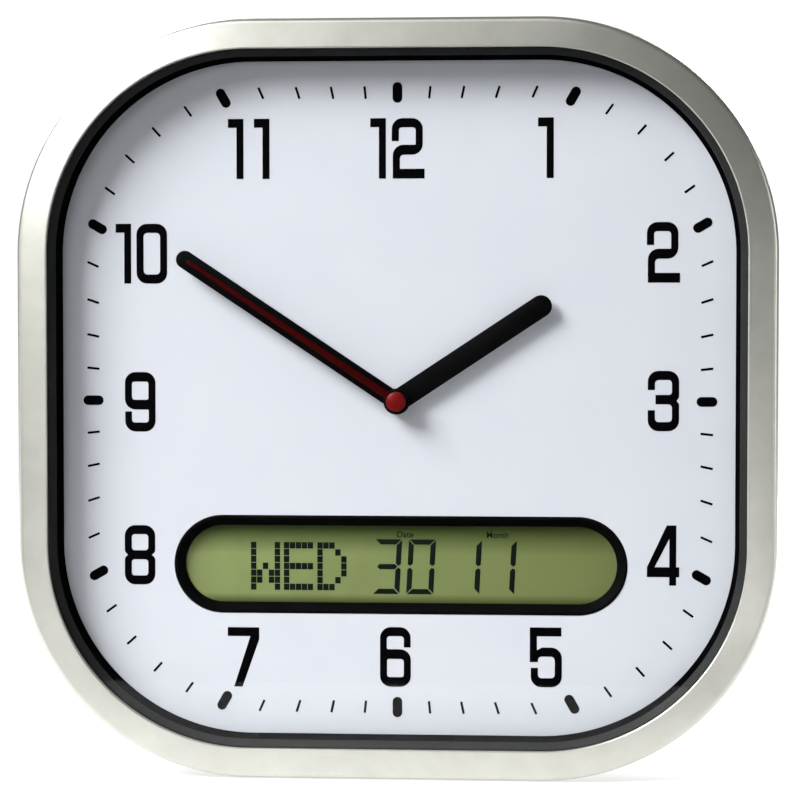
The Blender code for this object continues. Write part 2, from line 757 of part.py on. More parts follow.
def make_train():
    """Rotor to fifth wheel, its pinion to second wheel, then third wheel and centre wheel."""
    rotor_radius, fifth_radius = shares(FIFTH_TO_ROTOR, ROTOR_TEETH, FIFTH_TEETH[0])
    fifth_pinion, second_radius = shares(SECOND_TO_FIFTH, FIFTH_TEETH[1], SECOND_TEETH[0])
    second_pinion, third_radius = shares(SECOND_TO_THIRD, SECOND_TEETH[1], THIRD_TEETH[0])
    third_pinion, centre_radius = shares(SECOND_TO_THIRD, THIRD_TEETH[1], CENTRE_TEETH)
    fifth_tooth = meshing_tooth(0.0, SECOND_TEETH[0], FIFTH_BEARING, FIFTH_TEETH[1])
    rotor_tooth = meshing_tooth(0.0, FIFTH_TEETH[0], ROTOR_BEARING, ROTOR_TEETH)
    third_tooth = meshing_tooth(0.0, SECOND_TEETH[1], THIRD_BEARING, THIRD_TEETH[0])
    centre_tooth = meshing_tooth(0.0, THIRD_TEETH[1], THIRD_BEARING + math.pi, CENTRE_TEETH)
    rotor = make_wheel(
        "rotor", ROTOR_AXIS, ARBOR_RADIUS, ARBOR_LEVELS,
        [(gear_outline(ROTOR_TEETH, rotor_radius, rotor_tooth), (9.4, 10.4))], WHITE_PLASTIC,
    )
    join(rotor, disc(2.4, (11.4, 13.8), steps=20))
    make_wheel(
        "fifth_wheel", FIFTH_AXIS, ARBOR_RADIUS, ARBOR_LEVELS,
        [
            (gear_outline(FIFTH_TEETH[0], fifth_radius, 0.0), (9.6, 10.2)),
            (gear_outline(FIFTH_TEETH[1], fifth_pinion, fifth_tooth), (11.2, 12.6)),
        ],
        WHITE_PLASTIC,
    )
    make_wheel(
        "second_wheel", HAND_AXIS, ARBOR_RADIUS, (ARBOR_LEVELS[0], 32.6),
        [
            (gear_outline(SECOND_TEETH[0], second_radius, 0.0), (11.6, 12.2)),
            (gear_outline(SECOND_TEETH[1], second_pinion, 0.0), (12.6, 14.5)),
        ],
        STEEL,
    )
    make_wheel(
        "third_wheel", THIRD_AXIS, 0.33, (ARBOR_LEVELS[0], 17.4),
        [
            (gear_outline(THIRD_TEETH[0], third_radius, third_tooth), (13.2, 13.8)),
            (gear_outline(THIRD_TEETH[1], third_pinion, 0.0), (14.2, 17.2)),
        ],
        WHITE_PLASTIC,
    )
    outline = gear_outline(CENTRE_TEETH, centre_radius, centre_tooth)
    piece("centre_wheel", slab([outline, circle(1.25)], (16.4, 17.0)), BRASS)
    bridge = slab([rounded_box(23.6, 35.2, 1, (1.9, -0.5), 2)], BRIDGE_LEVELS)
    bridge = piece("train_bridge", bridge, GREY_PLASTIC)
    holes = [circle(PIVOT_RADIUS, axis, 10) for axis in (HAND_AXIS, FIFTH_AXIS, ROTOR_AXIS)]
    through = (BRIDGE_LEVELS[0] - CLEAR_THROUGH, BRIDGE_LEVELS[1] + CLEAR_THROUGH)
    cut(bridge, slab([*holes, circle(1.2, THIRD_AXIS, 12)], through))


def make_motion_work():
    """Cannon pinion to motion wheel, its pinion to the hour wheel; the knob turns the same wheel."""
    cannon_radius, motion_radius = shares(CANNON_TO_MOTION, CANNON_TEETH, MOTION_TEETH[0])
    motion_pinion, hour_radius = shares(CANNON_TO_MOTION, MOTION_TEETH[1], HOUR_TEETH)
    motion_tooth = meshing_tooth(0.0, CANNON_TEETH, MOTION_BEARING, MOTION_TEETH[0])
    knob_tooth = meshing_tooth(motion_tooth, MOTION_TEETH[0], MOTION_BEARING, KNOB_TEETH)
    hour_tooth = meshing_tooth(0.0, MOTION_TEETH[1], MOTION_BEARING + math.pi, HOUR_TEETH)
    cannon_levels = (18.0, 19.1)
    arbor_levels = (15.9, 31.6)
    arbor = piece("minute_arbor", disc(1.1, arbor_levels, steps=16), BRASS)
    join(arbor, slab([gear_outline(CANNON_TEETH, cannon_radius, 0.0)], cannon_levels))
    bore = (arbor_levels[0] - CLEAR_THROUGH, arbor_levels[1] + CLEAR_THROUGH)
    cut(arbor, disc(0.62, bore, steps=16))
    make_wheel(
        "motion_wheel", MOTION_AXIS, 0.5, (17.6, 21.6),
        [
            (gear_outline(MOTION_TEETH[0], motion_radius, motion_tooth), (18.2, 18.9)),
            (gear_outline(MOTION_TEETH[1], motion_pinion, 0.0), (18.5, 20.4)),
        ],
        WHITE_PLASTIC,
    )
    wheel_levels = (19.6, 20.4)
    pipe_end = 29.6
    hour = slab([gear_outline(HOUR_TEETH, hour_radius, hour_tooth)], wheel_levels)
    hour = piece("hour_wheel", hour, WHITE_PLASTIC)
    join(hour, disc(2.1, (19.8, pipe_end), steps=20))
    cut(hour, disc(1.3, (wheel_levels[0] - CLEAR_THROUGH, pipe_end + CLEAR_THROUGH), steps=16))
    knob = make_wheel(
        "setting_knob", KNOB_AXIS, 1.0, (2.0, 19.8),
        [(gear_outline(KNOB_TEETH, cannon_radius, knob_tooth), cannon_levels)], GREY_PLASTIC,
    )
    join(knob, slab([gear_outline(24, 5.2, 0.0)], (0.6, 4.2)))


def make_motor():
    """The stator's core strip passes through the coil; the rotor's magnet turns in its round hole."""
    outline = rounded_box(14.8, 20, 0.5, STATOR_MIDDLE, 2)
    window = rounded_box(4.2, 15, 0.3, (STATOR_MIDDLE[0] + 2.5, STATOR_MIDDLE[1]), 2)
    piece("stator", slab([outline, window, circle(2.8, ROTOR_AXIS)], STATOR_LEVELS), STEEL)
    level = sum(STATOR_LEVELS) / 2
    coil = rod(COIL_RADIUS, (COIL_X, COIL_Y[0], level), (COIL_X, COIL_Y[1], level), 1, 20)
    coil = piece("coil", coil, COPPER, smooth=True)
    cut(coil, block(*COIL_HOLE))
    board = slab([rounded_box(11.8, 34.4, 0.5, MOVEMENT_BOARD_MIDDLE, 2)], (9.0, 10.0))
    piece("movement_board", board, BOARD_GREEN)
    crystal = rod(1.0, (-20.0, 3.0, CRYSTAL_LEVEL), (-20.0, 9.0, CRYSTAL_LEVEL), 1, 12)
    piece("quartz_crystal", crystal, STEEL, smooth=True)


def make_clock_cell():
    make_cell("clock_cell", 0, CLOCK_CELL_Y, CLOCK_CELL_LEVEL)
    make_contact("clock_contact_plus", CONTACT_X, CLOCK_CELL_Y, CLOCK_CELL_LEVEL, 1)
    make_contact("clock_contact_minus", -CONTACT_X, CLOCK_CELL_Y, CLOCK_CELL_LEVEL, -1)
    make_cell_door("clock_cell_door", 0, CLOCK_CELL_Y)


# Hands.


def hand_outline(root_width, tip_width, length):
    """From the hub upwards, with a round tip."""
    tip_centre = (0, length - tip_width / 2)
    return [(-root_width / 2, 0), (root_width / 2, 0)] + arc(tip_centre, tip_width / 2, 0, 180, 8)


def make_hand(name, outline, levels, surface, clockwise, hub, bore_radius):
    """A flat blade with a round hub, given as (radius, levels, steps), and a bore through it."""
    hand = piece(name, slab([outline], levels), surface, clockwise=clockwise)
    hub_radius, hub_levels, steps = hub
    join(hand, disc(hub_radius, hub_levels, steps=steps))
    through = (levels[0] - CLEAR_THROUGH, levels[1] + CLEAR_THROUGH)
    cut(hand, disc(bore_radius, through, steps=20))


def make_hands():
    for name, shape, levels, clockwise, bore_radius in (
        ("hour_hand", HOUR_HAND, HOUR_LEVELS, HOUR_ANGLE, 2.3),
        ("minute_hand", MINUTE_HAND, MINUTE_LEVELS, MINUTE_ANGLE, 1.3),
    ):
        hub = (HUB_RADIUS, (levels[0] - 0.2, levels[1] + HUB_RISE), 28)
        make_hand(name, hand_outline(*shape), levels, HAND_BLACK, clockwise, hub, bore_radius)
    hub = (SECOND_HUB_RADIUS, (SECOND_LEVELS[0] - 0.1, SECOND_LEVELS[1] + 0.1), 24)
    outline = hand_outline(*SECOND_HAND)
    make_hand("second_hand", outline, SECOND_LEVELS, RED, SECOND_ANGLE, hub, 0.6)
    edge = CAP_BACK + CAP_EDGE
    slopes = [math.radians(22.5 * i) for i in range(5)]
    dome = [(CAP_RADIUS * math.sin(a), edge + CAP_DOME * math.cos(a)) for a in slopes]
    cap = turned([*dome, (CAP_RADIUS, CAP_BACK), (0, CAP_BACK)], 20)
    piece("second_hand_cap", cap, RED, clockwise=SECOND_ANGLE, smooth=True)


def main():
    clear_scene()
    make_bezel()
    make_glass_and_ring()
    make_dial()
    make_rear_cover()
    make_cover_screws()
    make_display()
    make_buttons()
    make_calendar_cell()
    make_leads()
    make_movement_cases()
    make_fixings()
    make_train()
    make_motion_work()
    make_motor()
    make_clock_cell()
    make_hands()


main()
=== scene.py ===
"""Looks of the wall clock: detailed shells, dial print, display, hands and materials on the CAD frame.

Sizes are in millimetres, and MM turns them into metres. Shapes are drawn in dial coordinates, x to
the right, y up and z out of the wall, which piece turns to the world's -Y. A distance from the wall
is called a level, and an inset is a distance inwards from the outer edge.
"""

import json
import math

import bmesh
import bpy
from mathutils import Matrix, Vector


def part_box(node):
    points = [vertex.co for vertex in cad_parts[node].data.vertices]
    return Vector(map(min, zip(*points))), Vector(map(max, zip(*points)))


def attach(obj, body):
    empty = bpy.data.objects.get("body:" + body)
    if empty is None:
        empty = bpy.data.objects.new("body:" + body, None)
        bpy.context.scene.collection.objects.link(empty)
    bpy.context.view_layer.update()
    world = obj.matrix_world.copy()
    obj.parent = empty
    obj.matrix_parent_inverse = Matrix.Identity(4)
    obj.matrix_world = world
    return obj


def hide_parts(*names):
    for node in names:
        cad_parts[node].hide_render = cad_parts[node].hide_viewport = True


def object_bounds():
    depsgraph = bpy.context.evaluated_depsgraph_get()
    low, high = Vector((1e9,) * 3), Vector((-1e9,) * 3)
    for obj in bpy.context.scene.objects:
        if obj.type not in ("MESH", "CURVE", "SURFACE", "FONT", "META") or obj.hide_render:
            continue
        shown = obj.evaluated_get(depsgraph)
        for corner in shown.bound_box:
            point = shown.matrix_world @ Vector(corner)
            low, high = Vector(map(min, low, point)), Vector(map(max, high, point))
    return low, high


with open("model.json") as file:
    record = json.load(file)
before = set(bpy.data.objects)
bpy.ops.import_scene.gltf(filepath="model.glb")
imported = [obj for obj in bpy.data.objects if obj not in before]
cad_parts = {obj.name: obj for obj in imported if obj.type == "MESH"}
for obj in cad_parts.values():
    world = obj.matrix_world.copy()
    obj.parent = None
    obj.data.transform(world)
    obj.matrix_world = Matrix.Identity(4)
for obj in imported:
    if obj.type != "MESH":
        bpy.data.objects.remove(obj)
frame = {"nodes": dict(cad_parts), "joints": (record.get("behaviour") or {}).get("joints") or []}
cad_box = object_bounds()

MM = 0.001
NODES = frame["nodes"]

# Case.
CASE_CORNER = 92.4
CORNER_STEPS = 40
RIM_INSET = 11.9
RIM_SLOPE = 0.9
RIM_THICKNESS = 2.4
SKIRT_THICKNESS = 2.4
DIAL_INSET = 11.3
WINDOW_LIP = 3.8

# Inner ring: a satin slope under the glass, then a wall down to the dial given a deeper, dull black as
# painted shade.
RING_INSETS = (9.4, 12.0, 14.5, 16.0)
RING_SLOPE_DROP = 2.0
RING_THICKNESS = 1.5

# Dial print, about the hand axis.
NUMERAL_HEIGHT = 23.9
INK = 0.05
NUMERAL_PLACES = {
    "12": (0.0, 100.3),
    "1": (58.8, 100.3),
    "2": (105.2, 59.0),
    "3": (105.4, 0.3),
    "4": (105.5, -60.9),
    "5": (59.2, -101.9),
    "6": (-0.8, -102.3),
    "7": (-61.9, -102.9),
    "8": (-103.7, -62.1),
    "9": (-103.4, -0.6),
    "10": (-102.7, 58.7),
    "11": (-59.4, 100.3),
}
TRACK_CENTRE = (0.1, 0.0)
TRACK_HALF = 122.4
TRACK_CORNER = 68.9
MINUTE_MARK = (0.95, 4.95)
HOUR_MARK = (3.85, 8.15)

# Glyphs are drawn on a grid 12.2 wide and 23.6 high, with strokes 2.8 wide and 3.6 high.
GRID_W = 12.2
GRID_H = 23.6
STEM = 2.8
BAR = 3.6
ROUND = 4.2

# Display read-out, about the hand axis.
DOT_PITCH = (2.4, 2.79)
DOT_SIZE = (2.18, 2.54)
DOT_LETTERS = {
    "W": ("10001", "10001", "10001", "10101", "11011", "11011", "10001"),
    "E": ("11111", "10000", "10000", "11111", "10000", "10000", "11111"),
    "D": ("11100", "10010", "10001", "10001", "10001", "10010", "11100"),
}
DAY_PLACES = (("W", -59.3), ("E", -46.0), ("D", -32.5))
DAY_TOP = -56.9
DIGIT_SIZE = (10.9, 22.0)
DIGIT_BASE = -77.5
DIGIT_STROKE = 2.1
DIGIT_GAP = 0.3
DIGIT_SLANT = math.radians(3)
DIGIT_PLACES = (("3", -10.4), ("0", 3.2), ("1", 21.6), ("1", 35.5))
SEGMENTS_LIT = {"0": "abcdef", "1": "bc", "3": "abcdg"}
CAPTIONS = (("Date", 2.8), ("Month", 39.8))
CAPTION_Y = -54.7
CAPTION_HEIGHT = 3.4
CAPTION_WEIGHT = 0.035
# The display face is painted paler to the left between these ends as glare. It is painted darker in the
# two bands below: a painted shadow under the frame at the top and painted shade at the bottom.
DISPLAY_GLARE_ENDS = (-0.09, 0.09)
DISPLAY_TOP_SHADE = (-0.0615, -0.0515)
DISPLAY_LOW_SHADE = (-0.081, -0.0775)

# Hands.
HOUR_HAND_WIDTH = 8.7
MINUTE_HAND_WIDTH = 7.1
HUB_RADIUS = 5.15
SECOND_HAND_WIDTHS = (3.1, 1.6)
CAP_RADIUS = 3.9
CAP_SKIRT = 0.45

# Back of the case.
COVER_INSET = 11.5
COVER_PLATE = 2.2
SEAM_INSET = 17.5
FLANGE_INSET = 2.8
FLANGE_LEVELS = (5.5, 8.0)
SEAM_GROOVE = (0.9, 0.6)
DOOR_OPENING = (58, 19.8)
DOOR_FRAME = (64, 25.8)
KNOB_HOLE = 6.5
KNOB_POCKET = 9.5
BUTTON_HOLE = 4.2
BUTTON_POCKET = (76, 20)
STEP_DEPTH = 0.6
MARK_RISE = 8.4
LABEL_PLACE = (0.0, 62.0)
LABEL_SIZE = (84, 30)
GROOVE_LENGTH = 34.0
GROOVE_X = 84.0
GROOVE_Y = 66.0
GROOVE_PITCH = 5.0
GROOVE_COUNT = 6
GROOVE_WIDTH = 1.6
SCREW_SEAT = 5.2
KNOB_RADIUS = 5.25
KNOB_TEETH = 40
PINION_TEETH = 12

# Studio, in metres: name, place, width, height and radiance of each soft light.
LIGHTS = (
    ("key", (-1.6, -1.15, 1.55), 1.1, 1.1, 29.0),
    ("fill_left", (-0.78, -1.4, 0.4), 0.34, 0.4, 4.1),
    ("fill_top", (-0.53, -1.4, 0.56), 0.5, 0.3, 2.9),
    ("fill_low", (-0.66, -1.4, -0.27), 0.32, 0.3, 1.5),
    ("fill_right", (0.47, -1.5, -0.3), 0.3, 0.3, 3.0),
    ("side_left", (-1.6, -0.5, 0.1), 0.4, 1.2, 0.9),
    ("side_right", (1.5, -0.5, 0.0), 0.5, 1.2, 2.0),
    ("edge_right", (1.05, -1.25, -0.2), 0.22, 0.6, 2.1),
    ("top", (-0.2, -0.8, 1.2), 0.8, 0.8, 0.55),
    ("rear_left", (-0.9, 1.5, 1.1), 1.0, 1.0, 5.0),
    ("rear_right", (1.1, 1.5, 1.1), 1.0, 1.0, 5.0),
)

# Camera: its direction and distance from the middle of the front, and how far off that it aims.
CAMERA_AZIMUTH = math.radians(4.4)
CAMERA_ELEVATION = math.radians(2.2)
CAMERA_DISTANCE = 1.05
CAMERA_AIM = (0.0025, 0, 0.0002)
CAMERA_LENS = 120.4

# Table top.
FLOOR_FRONT = -0.3
FLOOR_HALF_WIDTH = 1.6
FLOOR_DEPTH = 1.8
FLOOR_GAP = 0.0003


# Places read from the frame.


def in_mm(node):
    """The node's box as ((x, y, level) lowest, highest), in millimetres."""
    low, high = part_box(node)
    return (low.x / MM, low.z / MM, -high.y / MM), (high.x / MM, high.z / MM, -low.y / MM)


def levels(node):
    low, high = in_mm(node)
    return low[2], high[2]


def middle(node):
    low, high = in_mm(node)
    return (low[0] + high[0]) / 2, (low[1] + high[1]) / 2


def size(node):
    low, high = in_mm(node)
    return high[0] - low[0], high[1] - low[1]


def joint_axis(name):
    joint = next(j for j in frame["joints"] if j["name"] == name)
    return joint["pos_m"][0] / MM, joint["pos_m"][2] / MM


def pointing(node, axis):
    """How far a hand reaches, and the clockwise angle from 12 at which it points."""
    places = [(v.co.x / MM - axis[0], v.co.z / MM - axis[1]) for v in NODES[node].data.vertices]
    tip = max(places, key=lambda place: math.hypot(*place))
    return math.hypot(*tip), math.atan2(tip[0], tip[1])


HAND_AXIS = joint_axis("second_hand_turn")
CASE_CENTRE = middle("bezel")
CASE_HALF = size("bezel")[0] / 2
SKIRT_BACK, RIM_FRONT = levels("bezel")
DIAL_BACK, DIAL_FRONT = levels("dial_plate")


# Outlines, as lists of (x, y).


def polar(centre, radius, angle):
    return (centre[0] + radius * math.cos(angle), centre[1] + radius * math.sin(angle))


def arc(centre, radius, start, end, steps):
    angles = (start + (end - start) * i / steps for i in range(steps + 1))
    return [polar(centre, radius, math.radians(a)) for a in angles]


def circle(radius, centre=(0, 0), steps=64):
    return [polar(centre, radius, 2 * math.pi * i / steps) for i in range(steps)]


def rounded_box(width, height, corner, centre=(0, 0), steps=8):
    points = []
    for start, side_x, side_y in ((0, 1, 1), (90, -1, 1), (180, -1, -1), (270, 1, -1)):
        place = (
            centre[0] + side_x * (width / 2 - corner),
            centre[1] + side_y * (height / 2 - corner),
        )
        points += arc(place, corner, start, start + 90, steps)
    return points


def case_outline(inset):
    side = 2 * (CASE_HALF - inset)
    return rounded_box(side, side, CASE_CORNER - inset, CASE_CENTRE, CORNER_STEPS)


def stadium(width, height, centre=(0, 0), steps=40):
    right = (centre[0] + (width - height) / 2, centre[1])
    left = (centre[0] - (width - height) / 2, centre[1])
    return arc(right, height / 2, -90, 90, steps) + arc(left, height / 2, 90, 270, steps)


def rounded(corners, steps=6):
    """An outline through corners of (x, y, radius), each corner rounded by an arc."""
    points = []
    for before, corner, after in zip(corners[-1:] + corners[:-1], corners, corners[1:] + corners[:1]):
        place = Vector(corner[:2])
        if corner[2] == 0:
            points.append(tuple(place))
            continue
        back = Vector(before[:2]) - place
        ahead = Vector(after[:2]) - place
        half = back.angle(ahead) / 2
        reach = min(corner[2] / math.tan(half), back.length * 0.98, ahead.length * 0.98)
        radius = reach * math.tan(half)
        bisector = (back.normalized() + ahead.normalized()).normalized()
        centre = place + bisector * (radius / math.sin(half))
        first = place + back.normalized() * reach - centre
        last = place + ahead.normalized() * reach - centre
        turn = first.angle_signed(last)
        start = math.atan2(first.y, first.x)
        points += [polar(centre, radius, start - turn * i / steps) for i in range(steps + 1)]
    return points


# Meshes.


def new_object(name, mesh):
    obj = bpy.data.objects.new(name, mesh)
    bpy.context.scene.collection.objects.link(obj)
    return obj


def mesh_from(maker):
    body = bmesh.new()
    maker(body)
    bmesh.ops.remove_doubles(body, verts=body.verts, dist=0.000001)
    bmesh.ops.recalc_face_normals(body, faces=body.faces)
    mesh = bpy.data.meshes.new("shape")
    body.to_mesh(mesh)
    body.free()
    return mesh


def evaluated(obj):
    """The object's mesh with its modifiers applied; the object itself is removed."""
    graph = bpy.context.evaluated_depsgraph_get()
    mesh = bpy.data.meshes.new_from_object(obj.evaluated_get(graph))
    bpy.data.objects.remove(obj)
    return mesh


def slab(outlines, z):
    """A flat plate between two levels; outlines inside others are holes."""
    curve = bpy.data.curves.new("outline", "CURVE")
    curve.dimensions = "2D"
    curve.fill_mode = "BOTH"
    curve.extrude = (z[1] - z[0]) / 2 * MM
    for outline in outlines:
        spline = curve.splines.new("POLY")
        spline.points.add(len(outline) - 1)
        for point, (x, y) in zip(spline.points, outline):
            point.co = (x * MM, y * MM, 0, 1)
        spline.use_cyclic_u = True
    flat = evaluated(new_object("outline", curve))

    def make(body):
        body.from_mesh(flat)
        bmesh.ops.translate(body, vec=(0, 0, (z[0] + z[1]) / 2 * MM), verts=body.verts)

    return mesh_from(make)


def ring_of(body, points, level):
    return [body.verts.new((x * MM, y * MM, level * MM)) for x, y in points]


def stitch(body, first, second):
    """Faces between two rings of vertices, either of which may be a single point."""
    if len(first) == 1 or len(second) == 1:
        point, around = (first[0], second) if len(first) == 1 else (second[0], first)
        for a, b in zip(around, around[1:] + around[:1]):
            body.faces.new((a, b, point))
        return
    for a, b, c, d in zip(first, first[1:] + first[:1], second[1:] + second[:1], second):
        body.faces.new((a, b, c, d))


def swept(profile, outline):
    """A closed profile of (inset, level) carried round outline(inset)."""

    def make(body):
        rings = [ring_of(body, outline(inset), level) for inset, level in profile]
        for first, second in zip(rings, rings[1:] + rings[:1]):
            stitch(body, first, second)

    return mesh_from(make)


def capped(profile, outline):
    """An open profile of (inset, level) from back to front, swept and then closed at both ends."""

    def make(body):
        rings = [ring_of(body, outline(inset), level) for inset, level in profile]
        for first, second in zip(rings, rings[1:]):
            stitch(body, first, second)
        body.faces.new(rings[0])
        body.faces.new(rings[-1])

    return mesh_from(make)


def turned(profile, centre=(0, 0), steps=64):
    """A profile of (radius, level) from the axis to the axis, turned about it."""

    def make(body):
        rings = []
        for radius, level in profile:
            points = circle(radius, centre, steps) if radius else [centre]
            rings.append(ring_of(body, points, level))
        for first, second in zip(rings, rings[1:]):
            stitch(body, first, second)

    return mesh_from(make)


def block(x, y, z):
    outline = [(x[0], y[0]), (x[1], y[0]), (x[1], y[1]), (x[0], y[1])]
    return slab([outline], z)


def combined(mesh, operation, others):
    """The mesh with the others joined to it or cut from it."""
    target = new_object("target", mesh)
    helpers = []
    for other in others:
        helper = new_object("helper", other)
        modifier = target.modifiers.new("boolean", "BOOLEAN")
        modifier.operation = operation
        modifier.solver = "EXACT"
        modifier.object = helper
        helpers.append(helper)
    bpy.context.view_layer.update()
    result = evaluated(target)
    for helper in helpers:
        bpy.data.objects.remove(helper)
    return result


def softened(mesh, width):
    """The mesh with its sharp edges rounded."""
    body = bmesh.new()
    body.from_mesh(mesh)
    bmesh.ops.remove_doubles(body, verts=body.verts, dist=0.000002)
    bmesh.ops.dissolve_limit(body, angle_limit=math.radians(1), verts=body.verts, edges=body.edges)
    body.to_mesh(mesh)
    body.free()
    target = new_object("target", mesh)
    bevel = target.modifiers.new("bevel", "BEVEL")
    bevel.width = width * MM
    bevel.segments = 2
    bevel.limit_method = "ANGLE"
    bevel.angle_limit = math.radians(35)
    bpy.context.view_layer.update()
    return evaluated(target)


def merged(meshes):
    """Separate closed shapes in one mesh."""
    body = bmesh.new()
    for mesh in meshes:
        body.from_mesh(mesh)
    result = bpy.data.meshes.new("shape")
    body.to_mesh(result)
    body.free()
    return result


# Materials.


def link(tree, source, target):
    tree.links.new(source, target)


def node(tree, kind, **settings):
    made = tree.nodes.new(kind)
    for name, value in settings.items():
        setattr(made, name, value)
    return made


def set_inputs(made, values):
    for name, value in values.items():
        made.inputs[name].default_value = value


def object_coordinates(tree, stretch=(1, 1, 1)):
    coordinates = node(tree, "ShaderNodeTexCoord")
    mapping = node(tree, "ShaderNodeMapping")
    set_inputs(mapping, {"Scale": stretch})
    link(tree, coordinates.outputs["Object"], mapping.inputs["Vector"])
    return mapping.outputs["Vector"]


def noise(tree, vector, scale, detail):
    made = node(tree, "ShaderNodeTexNoise")
    set_inputs(made, {"Scale": scale, "Detail": detail, "Roughness": 0.55})
    link(tree, vector, made.inputs["Vector"])
    return made.outputs["Fac"]


def by_axis(tree, vector):
    """The vector's parts, as outputs X, Y and Z."""
    made = node(tree, "ShaderNodeSeparateXYZ")
    link(tree, vector, made.inputs["Vector"])
    return made.outputs


def spread(tree, value, low, high, source=(0.3, 0.7)):
    """The value carried from the source range to low..high."""
    made = node(tree, "ShaderNodeMapRange")
    set_inputs(made, {"From Min": source[0], "From Max": source[1], "To Min": low, "To Max": high})
    link(tree, value, made.inputs["Value"])
    return made.outputs["Result"]


def blend_colours(tree, factor, first, second):
    made = node(tree, "ShaderNodeMix", data_type="RGBA")
    link(tree, factor, made.inputs["Factor"])
    for value, socket in ((first, made.inputs[6]), (second, made.inputs[7])):
        if isinstance(value, tuple):
            socket.default_value = (*value, 1)
        else:
            link(tree, value, socket)
    return made.outputs[2]


def new_material(name):
    made = bpy.data.materials.new(name)
    made.use_nodes = True
    return made, made.node_tree, made.node_tree.nodes["Principled BSDF"]


def surface(name, dark, light, roughness, **options):
    """A Principled material whose colour, roughness and relief vary with noise.

    mottle and grain are features per metre; stretch squeezes them along x, y and z; relief is how
    strongly the grain shows in the shading; fleck is a second colour and how much of it shows.
    """
    made, tree, shader = new_material(name)
    vector = object_coordinates(tree, options.get("stretch", (1, 1, 1)))
    mottle = noise(tree, vector, options.get("mottle", 60), 4)
    grain = noise(tree, vector, options.get("grain", 2500), 2)
    colour = blend_colours(tree, spread(tree, mottle, 0, 1), dark, light)
    fleck = options.get("fleck")
    if fleck:
        colour = blend_colours(tree, spread(tree, grain, 0, fleck[1], (0.5, 0.75)), colour, fleck[0])
    link(tree, colour, shader.inputs["Base Color"])
    link(tree, spread(tree, grain, *roughness), shader.inputs["Roughness"])
    bump = node(tree, "ShaderNodeBump")
    relief, depth = options.get("relief", 0.1), options.get("depth", 0.00005)
    set_inputs(bump, {"Strength": relief, "Distance": depth})
    link(tree, grain, bump.inputs["Height"])
    link(tree, bump.outputs["Normal"], shader.inputs["Normal"])
    metallic, specular = options.get("metallic", 0), options.get("specular", 0.5)
    set_inputs(shader, {"Metallic": metallic, "Specular IOR Level": specular})
    return made


def clear_glass():
    """Clear sheet: a Fresnel share of mirror over plain transparency, with faint wipe marks."""
    made, tree, shader = new_material("clear_glass")
    tree.nodes.remove(shader)
    see = node(tree, "ShaderNodeBsdfTransparent")
    set_inputs(see, {"Color": (0.98, 0.985, 0.985, 1)})
    mirror = node(tree, "ShaderNodeBsdfGlossy")
    set_inputs(mirror, {"Color": (1, 1, 1, 1)})
    marks = noise(tree, object_coordinates(tree, (1, 1, 4)), 25, 5)
    link(tree, spread(tree, marks, 0.0, 0.06), mirror.inputs["Roughness"])
    fresnel = node(tree, "ShaderNodeFresnel")
    set_inputs(fresnel, {"IOR": 1.45})
    mix = node(tree, "ShaderNodeMixShader")
    sides = node(tree, "ShaderNodeNewGeometry")
    outer_only = node(tree, "ShaderNodeMath", operation="MULTIPLY")
    outside = node(tree, "ShaderNodeMath", operation="SUBTRACT")
    outside.inputs[0].default_value = 1.0
    link(tree, sides.outputs["Backfacing"], outside.inputs[1])
    link(tree, fresnel.outputs["Fac"], outer_only.inputs[0])
    link(tree, outside.outputs["Value"], outer_only.inputs[1])
    link(tree, outer_only.outputs["Value"], mix.inputs["Fac"])
    link(tree, see.outputs["BSDF"], mix.inputs[1])
    link(tree, mirror.outputs["BSDF"], mix.inputs[2])
    link(tree, mix.outputs["Shader"], tree.nodes["Material Output"].inputs["Surface"])
    return made


def display_face_painted_light():
    """Green reflective display: painted glare makes it paler to the left; it is clouded; a painted
    shadow of the window frame darkens its top edge and painted shade darkens its bottom edge; and it
    has a fine grain.
    """
    made, tree, shader = new_material("display_face_painted_light")
    vector = object_coordinates(tree)
    axes = by_axis(tree, vector)
    # Painted glare: the face is painted paler towards the left end and darker towards the right.
    along = spread(tree, axes["X"], 0, 1, DISPLAY_GLARE_ENDS)
    colour = blend_colours(tree, along, (0.25, 0.3, 0.115), (0.13, 0.155, 0.05))
    cloud = noise(tree, vector, 45, 4)
    colour = blend_colours(tree, spread(tree, cloud, 0, 0.5), colour, (0.15, 0.18, 0.065))
    # Painted shadow of the window frame along the top edge, then painted shade along the bottom edge.
    painted_frame_shadow = spread(tree, axes["Z"], 0, 1, DISPLAY_TOP_SHADE)
    colour = blend_colours(tree, painted_frame_shadow, colour, (0.035, 0.05, 0.009))
    painted_low_shade = spread(tree, axes["Z"], 1, 0, DISPLAY_LOW_SHADE)
    colour = blend_colours(tree, painted_low_shade, colour, (0.055, 0.07, 0.014))
    link(tree, colour, shader.inputs["Base Color"])
    grain = noise(tree, vector, 5000, 2)
    link(tree, spread(tree, grain, 0.3, 0.42), shader.inputs["Roughness"])
    set_inputs(shader, {"Specular IOR Level": 0.25})
    return made


def studio_floor():
    """Pale table top with a soft glow of its own, stronger under the clock and again behind it."""
    made = surface(
        "studio_floor", (0.36, 0.36, 0.36), (0.38, 0.38, 0.38), (0.6, 0.8), mottle=6, grain=400,
    )
    tree = made.node_tree
    shader = tree.nodes["Principled BSDF"]
    axes = by_axis(tree, object_coordinates(tree))
    set_inputs(shader, {"Emission Color": (1, 1, 1, 1)})
    glow = node(tree, "ShaderNodeMath", operation="ADD")
    link(tree, spread(tree, axes["Y"], 0, 0.52, (-0.15, -0.085)), glow.inputs[0])
    link(tree, spread(tree, axes["Y"], 0, 0.6, (-0.045, 0.02)), glow.inputs[1])
    link(tree, glow.outputs["Value"], shader.inputs["Emission Strength"])
    return made


